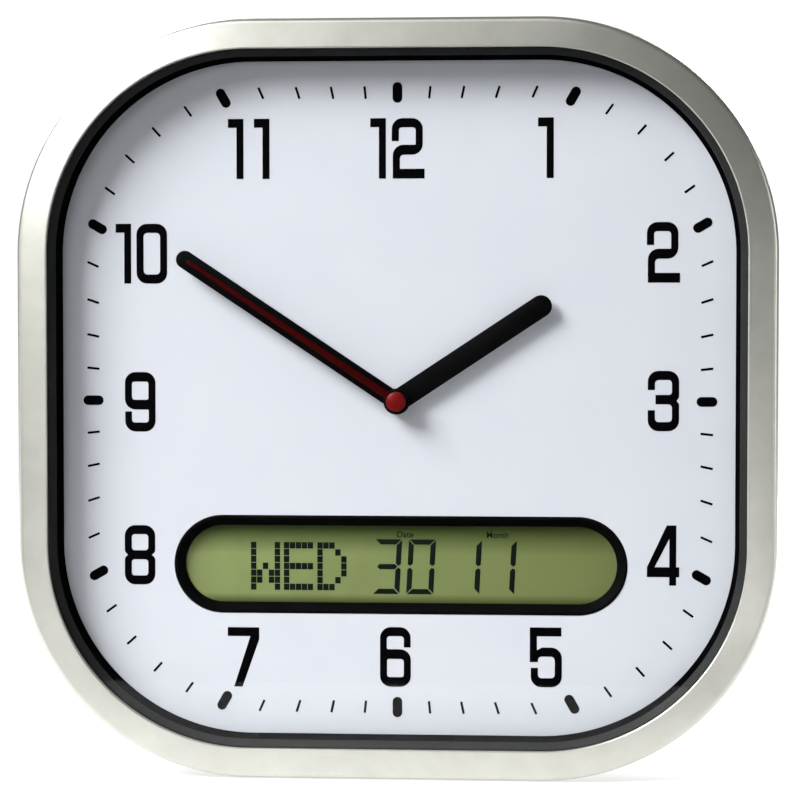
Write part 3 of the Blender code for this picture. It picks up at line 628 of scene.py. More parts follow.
def wound_wire():
    """Enamelled copper wire in close turns along y."""
    made = surface("copper_winding", (0.42, 0.13, 0.04), (0.62, 0.24, 0.08), (0.25, 0.4), metallic=1.0)
    tree = made.node_tree
    wave = node(tree, "ShaderNodeTexWave", bands_direction="Y")
    set_inputs(wave, {"Scale": 1600, "Distortion": 0.4})
    link(tree, object_coordinates(tree), wave.inputs["Vector"])
    bump = next(n for n in tree.nodes if n.bl_idname == "ShaderNodeBump")
    link(tree, wave.outputs["Fac"], bump.inputs["Height"])
    set_inputs(bump, {"Strength": 0.8})
    return made


def circuit_board():
    """Solder mask over paler copper tracks."""
    made = surface("circuit_board", (0.015, 0.11, 0.035), (0.02, 0.15, 0.05), (0.3, 0.45), mottle=200)
    tree = made.node_tree
    shader = tree.nodes["Principled BSDF"]
    base = shader.inputs["Base Color"].links[0].from_socket
    brick = node(tree, "ShaderNodeTexBrick")
    set_inputs(brick, {"Scale": 130, "Mortar Size": 0.06})
    turn = node(tree, "ShaderNodeMapping")
    set_inputs(turn, {"Rotation": (math.pi / 2, 0, 0)})
    link(tree, object_coordinates(tree), turn.inputs["Vector"])
    link(tree, turn.outputs["Vector"], brick.inputs["Vector"])
    colour = blend_colours(tree, brick.outputs["Fac"], base, (0.07, 0.3, 0.1))
    link(tree, colour, shader.inputs["Base Color"])
    return made


def cell_jacket(positive_x):
    """Dark printed jacket with a copper-coloured band towards the positive end."""
    made = surface("cell_jacket", (0.01, 0.014, 0.03), (0.02, 0.026, 0.05), (0.22, 0.32), metallic=0.6)
    tree = made.node_tree
    shader = tree.nodes["Principled BSDF"]
    base = shader.inputs["Base Color"].links[0].from_socket
    axes = by_axis(tree, object_coordinates(tree))
    edge = (positive_x - 15) * MM
    band = spread(tree, axes["X"], 0, 1, (edge, edge + 0.0002))
    colour = blend_colours(tree, band, base, (0.62, 0.34, 0.14))
    link(tree, colour, shader.inputs["Base Color"])
    return made


SILVER = surface(
    "satin_silver", (0.6, 0.6, 0.545), (0.66, 0.66, 0.6), (0.3, 0.4), metallic=0.92, mottle=90,
    grain=5200, relief=0.16, fleck=((0.8, 0.8, 0.75), 0.35),
)
DEEP_BLACK = ((0.0012, 0.0012, 0.0014), (0.0022, 0.0022, 0.0024))
BLACK = surface("black_plastic", *DEEP_BLACK, (0.6, 0.72), grain=3600, relief=0.06, specular=0.03)
RING_BLACK = surface(
    "ring_black", (0.017, 0.0175, 0.0175), (0.022, 0.0225, 0.0225), (0.5, 0.62), grain=3600,
    relief=0.06, specular=0.1,
)
# Deeper, dull black for the inner ring's wall: painted shade.
RING_WALL_SHADE_BLACK = surface("ring_wall_painted_shade", *DEEP_BLACK, (0.9, 0.98), grain=3600, relief=0.05, specular=0)
HAND_BLACK = surface(
    "hand_black", (0.0008, 0.0008, 0.001), (0.0016, 0.0016, 0.002), (0.42, 0.55), grain=3000,
    relief=0.06, specular=0.05,
)
INK_BLACK = surface(
    "ink_black", (0.0006, 0.0006, 0.001), (0.001, 0.001, 0.0015), (0.6, 0.75), grain=6000,
    relief=0.05, specular=0.02,
)
DIAL_WHITE = surface(
    "dial_white", (0.6, 0.612, 0.664), (0.616, 0.628, 0.676), (0.5, 0.62), mottle=35, grain=4200,
    relief=0.025, specular=0.2,
)
RED = surface(
    "hand_red", (0.13, 0.0015, 0.001), (0.16, 0.002, 0.0015), (0.34, 0.46), mottle=300, grain=3000,
    relief=0.05, specular=0.15,
)
DARK_RED = surface(
    "hand_dark_red", (0.033, 0.0008, 0.0008), (0.042, 0.001, 0.001), (0.4, 0.5), mottle=300,
    grain=3000, relief=0.05, specular=0.04,
)
DISPLAY_FACE_PAINTED_LIGHT = display_face_painted_light()
DISPLAY_DARK = surface(
    "display_segment", (0.001, 0.003, 0.0018), (0.003, 0.009, 0.005), (0.5, 0.6), mottle=160,
    specular=0.1,
)
GLASS = clear_glass()
REAR_PLASTIC = surface(
    "rear_plastic", (0.05, 0.051, 0.054), (0.057, 0.058, 0.062), (0.48, 0.64), mottle=25, grain=2300,
    relief=0.5, depth=0.00008,
)
WHITE_PLASTIC = surface(
    "white_plastic", (0.68, 0.68, 0.63), (0.75, 0.75, 0.7), (0.38, 0.5), mottle=50, grain=2600,
    relief=0.1,
)
RUBBER = surface("grey_rubber", (0.05, 0.05, 0.053), (0.075, 0.075, 0.08), (0.7, 0.85), relief=0.25)
STEEL = surface(
    "zinc_steel", (0.52, 0.53, 0.55), (0.66, 0.66, 0.64), (0.22, 0.38), metallic=1.0, mottle=400,
    stretch=(1, 1, 5), relief=0.12,
)
BRASS = surface(
    "turned_brass", (0.55, 0.36, 0.12), (0.68, 0.48, 0.19), (0.2, 0.34), metallic=1.0, mottle=300,
    relief=0.1,
)
FOIL = surface(
    "reflector_foil", (0.7, 0.7, 0.68), (0.82, 0.82, 0.8), (0.15, 0.3), metallic=1.0, mottle=120,
    relief=0.2,
)
COPPER = wound_wire()
BOARD = circuit_board()
LEAD_RED = surface("lead_red", (0.35, 0.012, 0.01), (0.42, 0.02, 0.015), (0.35, 0.5))
LEAD_BLACK = surface("lead_black", (0.01, 0.01, 0.011), (0.018, 0.018, 0.019), (0.35, 0.5))
FLOOR = studio_floor()

CARRIED_OVER = {
    GLASS: ["front_glass"],
    DISPLAY_FACE_PAINTED_LIGHT: ["lcd_glass"],
    FOIL: ["lcd_reflector"],
    BOARD: ["lcd_board", "movement_board"],
    COPPER: ["coil"],
    LEAD_RED: ["lead_red"],
    LEAD_BLACK: ["lead_black"],
    BRASS: ["brass_washer", "dial_nut", "minute_arbor", "centre_wheel"],
    RUBBER: ["rubber_washer", "zebra_strip", "keypad_mat"],
    STEEL: [
        "lcd_screw_left", "lcd_screw_right", "clock_contact_plus", "clock_contact_minus",
        "calendar_contact_plus", "calendar_contact_minus", "stator", "second_wheel",
        "quartz_crystal",
    ],
    WHITE_PLASTIC: [
        "lcd_holder", "calendar_cell_tray", "rotor", "fifth_wheel", "third_wheel", "motion_wheel",
        "hour_wheel",
    ],
    REAR_PLASTIC: ["movement_front_case", "movement_back_case", "train_bridge"],
}


def dress_frame():
    """Gives each CAD node that stays in sight its finished material."""
    for material, names in CARRIED_OVER.items():
        for name in names:
            dress(name, material)
    for name in ("clock_cell", "calendar_cell"):
        dress(name, cell_jacket(in_mm(name)[1][0]))


def dress(name, material):
    mesh = NODES[name].data
    mesh.materials.clear()
    mesh.materials.append(material)


# Pieces.


def piece(name, mesh, material, body="root", stands_for=(), smooth=35):
    """Puts a mesh drawn in dial coordinates on the wall, riding on a body of the frame."""
    mesh.name = name
    mesh.materials.clear()
    mesh.materials.append(material)
    mesh.shade_smooth()
    mesh.set_sharp_from_angle(angle=math.radians(smooth))
    for polygon in mesh.polygons:
        if abs(polygon.normal.z) > 0.99999:
            polygon.use_smooth = False
    obj = new_object(name, mesh)
    obj.rotation_euler = (math.pi / 2, 0, 0)
    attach(obj, body)
    if stands_for:
        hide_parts(*stands_for)
    return obj


def hand_piece(name, mesh, material, clockwise, body, node_name):
    """Puts a mesh drawn upright about its own axis on the hand axis, turned to its place."""
    mesh.materials.append(material)
    mesh.shade_smooth()
    mesh.set_sharp_from_angle(angle=math.radians(35))
    obj = new_object(name, mesh)
    obj.location = (HAND_AXIS[0] * MM, 0, HAND_AXIS[1] * MM)
    obj.rotation_euler = (math.pi / 2, clockwise, 0)
    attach(obj, body)
    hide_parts(node_name)


# Case.


def screw_places():
    return [middle(f"cover_screw_{number}") for number in range(1, 7)]


def make_bezel():
    """The case side and front rim in one shell, with a screw boss behind the rim at each screw."""
    lip_back = RIM_FRONT - RIM_THICKNESS
    profile = rounded([
        (0, SKIRT_BACK, 0.7),
        (0, RIM_FRONT - RIM_SLOPE - 0.3, 2.6),
        (RIM_INSET, RIM_FRONT, 0.45),
        (RIM_INSET, lip_back, 0.3),
        (SKIRT_THICKNESS, lip_back, 1.2),
        (SKIRT_THICKNESS, SKIRT_BACK, 0.7),
    ], 8)
    shell = swept(profile, case_outline)
    foot = FLANGE_LEVELS[1] + 0.3
    bosses = []
    for place in screw_places():
        bosses.append(turned([
            (0, lip_back + 0.4), (3.6, lip_back + 0.4), (3.4, foot + 0.5), (3.1, foot), (1.6, foot),
            (1.6, 20), (0, 20),
        ], place, 40))
    piece("bezel_shell", merged([shell, *bosses]), SILVER, stands_for=["bezel"])


def make_inner_ring():
    """The black surround between the glass and the dial."""
    back, top = levels("inner_ring")
    foot = DIAL_FRONT + 0.3
    wall_top = top - RING_SLOPE_DROP
    outer, slope_start, slope_end, inner = RING_INSETS
    profile = rounded([
        (outer, back, 0.2),
        (outer, top, 0.3),
        (slope_start, top, 0.4),
        (slope_end, wall_top, 0.5),
        (inner, foot, 0.3),
        (inner - RING_THICKNESS, foot, 0.2),
        (slope_end - RING_THICKNESS, 32.0, 0.8),
        (11.0, 33.3, 0.5),
        (11.0, back, 0.2),
    ], 6)
    ring = piece(
        "dial_surround", swept(profile, case_outline), RING_BLACK,
        stands_for=["inner_ring"],
    )
    # The wall below the slope takes the deeper, dull black: painted shade where the wall drops down to
    # the dial.
    ring.data.materials.append(RING_WALL_SHADE_BLACK)
    for polygon in ring.data.polygons:
        if polygon.center.z < (wall_top - 0.2) * MM:
            polygon.material_index = 1


def make_dial():
    window = size("lcd_window_frame")
    width, height = (side - 2 * WINDOW_LIP + 0.6 for side in window)
    centre = middle("lcd_window_frame")
    holes = [circle(4.2, HAND_AXIS), stadium(width, height, centre)]
    plate = slab([case_outline(DIAL_INSET), *holes], (DIAL_BACK, DIAL_FRONT))
    piece("dial_face", plate, DIAL_WHITE, stands_for=["dial_plate"])


def make_window_frame():
    """A dished black surround: a flange behind the dial and a sloping wall down to the display."""
    width, height = size("lcd_window_frame")
    centre = middle("lcd_window_frame")
    back = levels("lcd_window_frame")[0]
    under_dial = DIAL_BACK - 0.3
    crest = DIAL_FRONT + 0.35
    opening = WINDOW_LIP + 3.9
    profile = rounded([
        (0, back, 0.2),
        (0, under_dial, 0.2),
        (WINDOW_LIP, under_dial, 0.1),
        (WINDOW_LIP, crest, 0.3),
        (WINDOW_LIP + 1.0, crest, 0.4),
        (opening, back + 0.5, 0.2),
        (opening, back, 0.1),
    ], 5)

    def outline(inset):
        return stadium(width - 2 * inset, height - 2 * inset, centre)

    piece(
        "display_surround", swept(profile, outline), BLACK,
        stands_for=["lcd_window_frame"],
    )


# Dial print.


def glyphs():
    """The outlines of each digit, holes after the first, on the glyph grid."""
    w, h, s, b, r = GRID_W, GRID_H, STEM, BAR, ROUND
    waist = h / 2
    outlines = {}
    outlines["0"] = [
        [(0, 0, r), (w, 0, r), (w, h, r), (0, h, r)],
        [(s, b, 1.6), (w - s, b, 1.6), (w - s, h - b, 1.6), (s, h - b, 1.6)],
    ]
    outlines["1"] = [[
        (0, h, 0), (6.15, h, 0), (6.15, 0, 0), (3.4, 0, 0), (3.4, h - 3.5, 0), (0, h - 3.5, 0),
    ]]
    outlines["2"] = [[
        (0, 14.65, 0), (0, h, r), (w, h, r), (w, 9.3, r), (3.2, 9.3, 1.5), (3.2, 3.8, 0.3),
        (12.9, 3.8, 0), (12.9, 0, 0), (0.4, 0, 0), (0.4, 13.2, r), (9.4, 13.2, 0.3),
        (9.4, 20, 1.2), (s, 20, 1.2), (s, 14.65, 0),
    ]]
    outlines["3"] = [[
        (0, h - 7.5, 0), (0, h, r), (w, h, r), (w, waist + 1.4, 1.6), (w - 1, waist + 0.1, 0),
        (w, waist - 1.2, 1.6), (w, 0, r), (0, 0, r), (0, 8.2, 0), (s, 8.2, 0), (s, b, 1.4),
        (w - s, b, 1.4), (w - s, 10.5, 1.4), (3, 10.5, 0), (3, 14.2, 0), (w - s, 14.2, 1.2),
        (w - s, h - b, 1.4), (s, h - b, 1.4), (s, h - 7.5, 0),
    ]]
    outlines["4"] = [
        [
            (0, 3.3, 0), (8.7, 3.3, 0), (8.7, 0, 0), (11.4, 0, 0), (11.4, 3.3, 0), (12.6, 3.3, 0),
            (12.6, 7.2, 0), (11.4, 7.2, 0), (11.4, h, 0), (7.7, h, 0), (0, 7.2, 0),
        ],
        [(8.7, 7.2, 0), (8.7, 18.3, 0), (3, 7.2, 0)],
    ]
    outlines["5"] = [[
        (0, 9.9, 0), (0, h, 0), (12.4, h, 0), (12.4, 20.1, 0), (s, 20.1, 0), (s, 14.6, 0),
        (4.8, 15.7, 1), (12.6, 15.7, r), (12.6, 0, r), (0.4, 0, r), (0.4, 7.65, 0),
        (3.2, 7.65, 0), (3.2, b, 1.4), (9.8, b, 1.4), (9.8, 12.1, 1.6), (3.2, 12.1, 1.5),
        (3.2, 9.9, 0),
    ]]
    outlines["6"] = [
        [
            (0, 0, r), (w, 0, r), (w, 14.85, r), (2.7, 14.85, 0.6), (2.7, 20, 1.2), (9.4, 20, 1.2),
            (9.4, 15.6, 0), (12.1, 15.6, 0), (12.1, h, r), (0, h, r),
        ],
        [(s, 3.8, 1), (9.4, 3.8, 1), (9.4, 11, 1.2), (s, 11, 0.8)],
    ]
    outlines["7"] = [[
        (0, h, 0), (12.55, h, 0), (12.55, h - 4.7, 0), (5.85, 0, 0), (2.5, 0, 0), (9, h - 3.5, 0),
        (0, h - 3.5, 0),
    ]]
    outlines["8"] = [
        [
            (0, 0, r), (w, 0, r), (w, waist - 1.2, 2), (w - 1.3, waist, 0), (w, waist + 1.2, 2),
            (w, h, r), (0, h, r), (0, waist + 1.2, 2), (1.3, waist, 0), (0, waist - 1.2, 2),
        ],
        [(s, b, 1.2), (w - s, b, 1.2), (w - s, 10, 1.2), (s, 10, 1.2)],
        [(s, 13.6, 1.2), (w - s, 13.6, 1.2), (w - s, h - b, 1.2), (s, h - b, 1.2)],
    ]
    outlines["9"] = [[(w - x, h - y, radius) for x, y, radius in o] for o in outlines["6"]]
    return outlines


SECOND_DIGIT_STEP = {"10": 8.3, "11": 10.3, "12": 8.44}


def make_numerals():
    """Each numeral is centred on its place by its own width."""
    shapes = glyphs()
    scale = NUMERAL_HEIGHT / GRID_H
    for text, (x, y) in NUMERAL_PLACES.items():
        steps = (0, SECOND_DIGIT_STEP.get(text, 0))
        digits = []
        for digit, step in zip(text, steps):
            digits.append([[(a + step, b) for a, b in rounded(o)] for o in shapes[digit]])
        widest = [a for digit in digits for outline in digit for a, _ in outline]
        centre = (min(widest) + max(widest)) / 2
        meshes = []
        for digit in digits:
            placed = [
                [((a - centre) * scale + x, (b - GRID_H / 2) * scale + y) for a, b in outline]
                for outline in digit
            ]
            meshes.append(slab(placed, (DIAL_FRONT, DIAL_FRONT + INK)))
        piece(f"numeral_{text}", merged(meshes), INK_BLACK)


def outside_track(x, y):
    """How far a point lies outside the rounded square that carries the marks."""
    flat = TRACK_HALF - TRACK_CORNER
    dx = abs(x - TRACK_CENTRE[0]) - flat
    dy = abs(y - TRACK_CENTRE[1]) - flat
    corner = math.hypot(max(dx, 0), max(dy, 0))
    return corner + min(max(dx, dy), 0) - TRACK_CORNER


def track_radius(angle):
    near, far = 0.0, 2 * TRACK_HALF
    for _ in range(40):
        radius = (near + far) / 2
        if outside_track(radius * math.sin(angle), radius * math.cos(angle)) < 0:
            near = radius
        else:
            far = radius
    return near


def mark(angle, outline):
    """An upright outline moved out to the track and turned to point at the hand axis."""
    radius = track_radius(angle)
    turn_x, turn_y = math.cos(angle), math.sin(angle)
    return [
        (x * turn_x + (y + radius) * turn_y, (y + radius) * turn_x - x * turn_y) for x, y in outline
    ]


def make_marks():
    width, length = HOUR_MARK
    hour = arc((0, (length - width) / 2), width / 2, 0, 180, 20)
    hour += arc((0, (width - length) / 2), width / 2, 180, 360, 20)
    minute = rounded_box(*MINUTE_MARK, 0.15, steps=2)
    ink = (DIAL_FRONT, DIAL_FRONT + INK)
    hours = [slab([mark(math.radians(30 * i), hour)], ink) for i in range(12)]
    minutes = [slab([mark(math.radians(6 * i), minute)], ink) for i in range(60) if i % 5]
    piece("hour_marks", merged(hours), INK_BLACK)
    piece("minute_marks", merged(minutes), INK_BLACK)


# Display read-out.


def display_ink(outlines):
    front = levels("lcd_glass")[1]
    return merged([slab([outline], (front, front + INK)) for outline in outlines])


def dot(column, row, left):
    x = left + column * DOT_PITCH[0]
    y = DAY_TOP - row * DOT_PITCH[1]
    return [(x, y - DOT_SIZE[1]), (x + DOT_SIZE[0], y - DOT_SIZE[1]), (x + DOT_SIZE[0], y), (x, y)]


def segments():
    """The seven segments of an upright digit, by their usual letters."""
    w, h = DIGIT_SIZE
    t, g = DIGIT_STROKE, DIGIT_GAP
    top = [(g, h), (w - g, h), (w - t - g, h - t), (t + g, h - t)]
    upper = [(0, h - g), (t, h - t - g), (t, h / 2 + t / 2 + g), (t / 2, h / 2 + g), (0, h / 2 + t / 2)]
    bar = [
        (t / 2 + g, h / 2), (t + g, h / 2 + t / 2), (w - t - g, h / 2 + t / 2),
        (w - t / 2 - g, h / 2), (w - t - g, h / 2 - t / 2), (t + g, h / 2 - t / 2),
    ]

    def across(outline):
        return [(w - x, y) for x, y in outline]

    def below(outline):
        return [(x, h - y) for x, y in outline]

    return {
        "a": top,
        "b": across(upper),
        "c": below(across(upper)),
        "d": below(top),
        "e": below(upper),
        "f": upper,
        "g": bar,
    }


def slanted(outline, left):
    return [(left + x + y * math.tan(DIGIT_SLANT), DIGIT_BASE + y) for x, y in outline]


def make_readout():
    """The day in dots and the date and month in segments, as printed dark areas."""
    lit = []
    for letter, left in DAY_PLACES:
        for row, pattern in enumerate(DOT_LETTERS[letter]):
            for column, state in enumerate(pattern):
                if state == "1":
                    lit.append(dot(column, row, left))
    shapes = segments()
    for digit, left in DIGIT_PLACES:
        lit += [slanted(shapes[name], left) for name in SEGMENTS_LIT[digit]]
    piece("readout_dark", display_ink(lit), DISPLAY_DARK)


def make_captions():
    """Small captions over the date and the month."""
    front = levels("lcd_glass")[1]
    for word, x in CAPTIONS:
        curve = bpy.data.curves.new("caption", "FONT")
        curve.body = word
        curve.size = CAPTION_HEIGHT * MM
        curve.align_x = "CENTER"
        curve.extrude = INK / 2 * MM
        curve.offset = CAPTION_WEIGHT * MM
        flat = evaluated(new_object("caption", curve))

        def make(body):
            body.from_mesh(flat)
            place = (x * MM, CAPTION_Y * MM, (front + INK / 2) * MM)
            bmesh.ops.translate(body, vec=place, verts=body.verts)

        piece(f"caption_{word.lower()}", mesh_from(make), DISPLAY_DARK)


# Hands.


def hand_outline(root_width, tip_width, length, foot=0.0):
    """An outline for each inset: from the hub upwards, with a round tip."""

    def outline(inset):
        root = root_width / 2 - inset
        tip = tip_width / 2 - inset
        ends = [(-root, foot + inset), (root, foot + inset)]
        return ends + arc((0, length - tip_width / 2), tip, 0, 180, 24)

    return outline


def flat_hand(width, length, blade, hub_radius, hub, bore):
    """A pressed blade with a crisp rolled edge on a turned hub."""
    back, front = blade
    profile = [(0.15, back), (0, back + 0.15), (0, front - 0.2), (0.06, front - 0.07), (0.2, front)]
    shape = capped(profile, hand_outline(width, width, length, -1))
    boss = turned([
        (bore, hub[0]), (hub_radius, hub[0]), (hub_radius, hub[1] - 0.35),
        (hub_radius - 0.12, hub[1] - 0.1), (hub_radius - 0.4, hub[1]), (bore, hub[1]), (bore, hub[0]),
    ])
    return merged([shape, boss])


def make_hour_and_minute():
    for name, body, width, bore in (
        ("hour_hand", "hours", HOUR_HAND_WIDTH, 2.3),
        ("minute_hand", "minutes", MINUTE_HAND_WIDTH, 1.3),
    ):
        length, clockwise = pointing(name, HAND_AXIS)
        back, front = levels(name)
        blade = (back + 0.2, front - 0.5)
        mesh = flat_hand(width, length, blade, HUB_RADIUS, (back, front), bore)
        mesh.name = name
        hand_piece(f"{name}_blade", mesh, HAND_BLACK, clockwise, body, name)


def make_second_hand():
    """A tapered blade folded along a raised ridge, and the domed cap over its hub."""
    length, clockwise = pointing("second_hand", HAND_AXIS)
    back, front = levels("second_hand")
    back += 0.1
    profile = [
        (0.1, back), (0, back + 0.1), (0, back + 0.22), (0.25, back + 0.36), (0.55, front + 0.05),
        (0.68, front + 0.08),
    ]
    blade = capped(profile, hand_outline(*SECOND_HAND_WIDTHS, length))
    hub = turned([
        (0.6, front - 0.7), (3.4, front - 0.7), (3.4, front - 0.15), (3.25, front), (0.6, front),
        (0.6, front - 0.7),
    ])
    hand_piece(
        "second_hand_blade", merged([blade, hub]), DARK_RED, clockwise, "seconds",
        "second_hand",
    )
    base, top = levels("second_hand_cap")
    skirt = base + CAP_SKIRT
    dome = [
        (CAP_RADIUS * math.sin(a), skirt + (top - skirt) * math.cos(a))
        for a in (math.radians(90 * i / 14) for i in range(15))
    ]
    cap = turned([*dome, (CAP_RADIUS, base + 0.1), (CAP_RADIUS - 0.15, base), (0, base)])
    hand_piece("second_hand_dome", cap, RED, clockwise, "seconds", "second_hand_cap")


# Back.


def hanger_outline():
    head, slot, rise = 5.0, 2.6, 9.0
    x, y = CASE_CENTRE[0], 103.0
    opening = math.degrees(math.asin(slot / head))
    return arc((x, y), head, 90 + opening, 450 - opening, 40) + arc((x, y + rise), slot, 0, 180, 20)


def ring_mark(centre, radius, width, start, end):
    """Part of a flat ring between two directions, in degrees."""
    outer = arc(centre, radius + width / 2, start, end, 32)
    return outer + arc(centre, radius - width / 2, end, start, 32)


def arrow_head(centre, radius, angle, length):
    """A triangle on a circle about centre; it points clockwise for a positive length."""
    tangent = (math.sin(math.radians(angle)) * length, -math.cos(math.radians(angle)) * length)
    root = polar(centre, radius, math.radians(angle))
    inner = polar(centre, radius - 1.5, math.radians(angle))
    outer = polar(centre, radius + 1.5, math.radians(angle))
    return [inner, outer, (root[0] + tangent[0], root[1] + tangent[1])]


def bar(width, height, centre):
    return rounded_box(width, height, min(width, height) * 0.3, centre, 3)


def button_marks(places):
    """Plain signs over the four buttons: a square, a ring, a plus and a minus."""
    square, ring, plus, minus = [(x, y + MARK_RISE) for x, y in places]
    return [
        [bar(3.2, 3.2, square)],
        [circle(1.9, ring, 32), circle(1.1, ring, 32)],
        [bar(0.9, 3.6, plus)],
        [bar(3.6, 0.9, plus)],
        [bar(3.6, 0.9, minus)],
    ]


def cover_shell():
    """The cover's wall and flange, with the seam groove round its plate."""
    front = levels("rear_cover")[1]
    inside = COVER_INSET + 2.2
    groove, depth = SEAM_GROOVE
    shell = swept(rounded([
        (COVER_INSET, 0.0, 0.9),
        (COVER_INSET, FLANGE_LEVELS[0], 0.3),
        (FLANGE_INSET, FLANGE_LEVELS[0], 0.5),
        (FLANGE_INSET, FLANGE_LEVELS[1], 0.5),
        (COVER_INSET, FLANGE_LEVELS[1], 0.3),
        (COVER_INSET, front, 0.4),
        (inside, front, 0.4),
        (inside, COVER_PLATE, 0.3),
        (SEAM_INSET, COVER_PLATE, 0),
        (SEAM_INSET, depth, 0),
        (SEAM_INSET - groove, depth, 0.2),
        (SEAM_INSET - groove, 0.0, 0.3),
    ], 5), case_outline)
    holes = [slab([circle(1.6, place, 24)], (4, 9)) for place in screw_places()]
    return combined(shell, "DIFFERENCE", holes)


def cover_floor(knob, doors, buttons):
    """The cover's plate with its openings and the shallow steps round them."""
    openings = [hanger_outline(), circle(KNOB_HOLE, knob)]
    openings += [rounded_box(*DOOR_OPENING, 1.0, door) for door in doors]
    openings += [circle(BUTTON_HOLE, place) for place in buttons]
    floor = slab([case_outline(SEAM_INSET - 0.1), *openings], (0.0, COVER_PLATE))
    button_row = (sum(x for x, _ in buttons) / len(buttons), buttons[0][1] + MARK_RISE / 2)
    pockets = [[rounded_box(*DOOR_FRAME, 3.0, door)] for door in doors]
    pockets += [
        [circle(KNOB_POCKET, knob, 72)],
        [rounded_box(*BUTTON_POCKET, 4.0, button_row)],
        [rounded_box(*LABEL_SIZE, 3.0, LABEL_PLACE)],
    ]
    for side in (-1, 1):
        for row in range(GROOVE_COUNT):
            centre = (CASE_CENTRE[0] + side * GROOVE_X, GROOVE_Y + GROOVE_PITCH * row)
            pockets.append([bar(GROOVE_LENGTH, GROOVE_WIDTH, centre)])
    below = -1.0
    steps = [slab(outlines, (below, STEP_DEPTH)) for outlines in pockets]
    return softened(combined(floor, "DIFFERENCE", steps), 0.2)


def make_rear_cover():
    """The cup behind the dial: wall, flange and plate, with its moulded signs."""
    knob = middle("setting_knob")
    doors = [middle("clock_cell_door"), middle("calendar_cell_door")]
    buttons = [middle(f"set_button_{number}") for number in range(1, 5)]
    shell = cover_shell()
    floor = cover_floor(knob, doors, buttons)
    signs = button_marks(buttons)
    signs += [
        [ring_mark(knob, 8.0, 0.8, 30, 150)],
        [arrow_head(knob, 8.0, 30, 3.0)],
        [arrow_head(knob, 8.0, 150, -3.0)],
    ]
    raised = [slab(outlines, (STEP_DEPTH - 0.3, STEP_DEPTH + 0.2)) for outlines in signs]
    piece(
        "rear_cover_shell", merged([shell, floor, *raised]), REAR_PLASTIC,
        stands_for=["rear_cover"],
    )


def pan_screw(place, level):
    """A cross-head screw driven from the back; level is its head's underside."""
    head = turned([
        (0, level - 1.8), (1.4, level - 1.78), (2.2, level - 1.5), (2.75, level - 0.9),
        (2.9, level - 0.25), (2.9, level), (1.25, level), (1.25, level + 10.5), (0.4, level + 11.5),
        (0, level + 11.5),
    ], place, 40)
    x, y = place
    slots = [
        block((x - a, x + a), (y - b, y + b), (level - 2.5, level - 1.0))
        for a, b in ((1.5, 0.33), (0.33, 1.5))
    ]
    return combined(head, "DIFFERENCE", slots)


def make_screws():
    for number, place in enumerate(screw_places(), 1):
        piece(
            f"rim_screw_{number}", pan_screw(place, SCREW_SEAT), STEEL,
            stands_for=[f"cover_screw_{number}"], smooth=50,
        )


def make_knob():
    """A knurled setting wheel with a dished face on its arbor."""
    axis = middle("setting_knob")
    back, front = levels("setting_knob")

    def outline(inset):
        points = []
        steps = KNOB_TEETH * 4
        for i in range(steps):
            angle = 2 * math.pi * i / steps
            wave = 0.14 * math.cos(angle * KNOB_TEETH)
            points.append(polar(axis, KNOB_RADIUS + wave - inset, angle))
        return points

    grip = capped([(0.7, back), (0.2, back + 0.12), (0, back + 0.5), (0, 3.9), (0.3, 4.2)], outline)
    dish = turned([
        (0, back - 1), (3.6, back - 1), (3.6, back + 0.25), (3.0, back + 0.5), (0, back + 0.5),
    ], axis)
    grip = combined(grip, "DIFFERENCE", [dish])
    x, y = axis
    slot = block((x - 2.6, x + 2.6), (y - 0.4, y + 0.4), (back - 1, back + 1.0))
    grip = combined(grip, "DIFFERENCE", [slot])
    arbor = turned([(0, 4.0), (1.0, 4.0), (1.0, front - 0.2), (0.8, front), (0, front)], axis, 32)
    pinion = []
    for i in range(PINION_TEETH):
        for share, radius in ((-0.3, 1.24), (-0.12, 1.7), (0.12, 1.7), (0.3, 1.24)):
            pinion.append(polar(axis, radius, 2 * math.pi * (i + 0.5 + share) / PINION_TEETH))
    gear = slab([pinion], (front - 1.8, front - 0.7))
    piece(
        "setting_knob_grip", merged([grip, arbor, gear]), REAR_PLASTIC, body="setting_knob",
        stands_for=["setting_knob"],
    )


def make_doors():
    """Battery doors with a thumb notch and a row of grip ribs."""
    for name in ("clock_cell_door", "calendar_cell_door"):
        x, y = middle(name)
        back, front = levels(name)
        width, height = size(name)

        def panel_outline(inset):
            return rounded_box(width - 2 * inset, height - 2 * inset, 0.8 - inset / 2, (x, y))

        plate = capped(
            [(0.35, back), (0.1, back + 0.1), (0, back + 0.35), (0, front - 0.1), (0.1, front)],
            panel_outline,
        )
        notch = slab([circle(5, (x, y - 11), 48)], (back - 1, back + 0.9))
        plate = combined(plate, "DIFFERENCE", [notch])
        ribs = []
        for rib in range(4):
            centre = (x, y - 3.6 + rib * 1.8)
            ribs.append(capped(
                [(0, back + 0.1), (0.05, back - 0.15), (0.25, back - 0.28)],
                lambda inset, centre=centre: stadium(16 - 2 * inset, 0.9 - 2 * inset, centre, 8),
            ))
        triangle = [(x - 2.2, y + 5.0), (x + 2.2, y + 5.0), (x, y + 7.4)]
        tip = slab([triangle], (back - 0.25, back + 0.1))
        piece(
            f"{name}_panel", merged([plate, *ribs, tip]), REAR_PLASTIC, body=name,
            stands_for=[name],
        )


def make_buttons():
    for number in range(1, 5):
        name = f"set_button_{number}"
        back, front = levels(name)
        place = middle(name)
        mesh = turned([
            (0, back + 0.35), (1.6, back + 0.28), (2.6, back + 0.1), (3.1, back), (3.6, back + 0.12),
            (3.8, back + 0.5), (3.8, 2.6), (5.1, 2.6), (5.2, 2.7), (5.2, 3.5), (5.1, 3.6), (2.5, 3.6),
            (2.5, front - 0.2), (2.3, front), (0, front),
        ], place, 48)
        piece(f"{name}_cap", mesh, WHITE_PLASTIC, body=name, stands_for=[name])


# Studio.


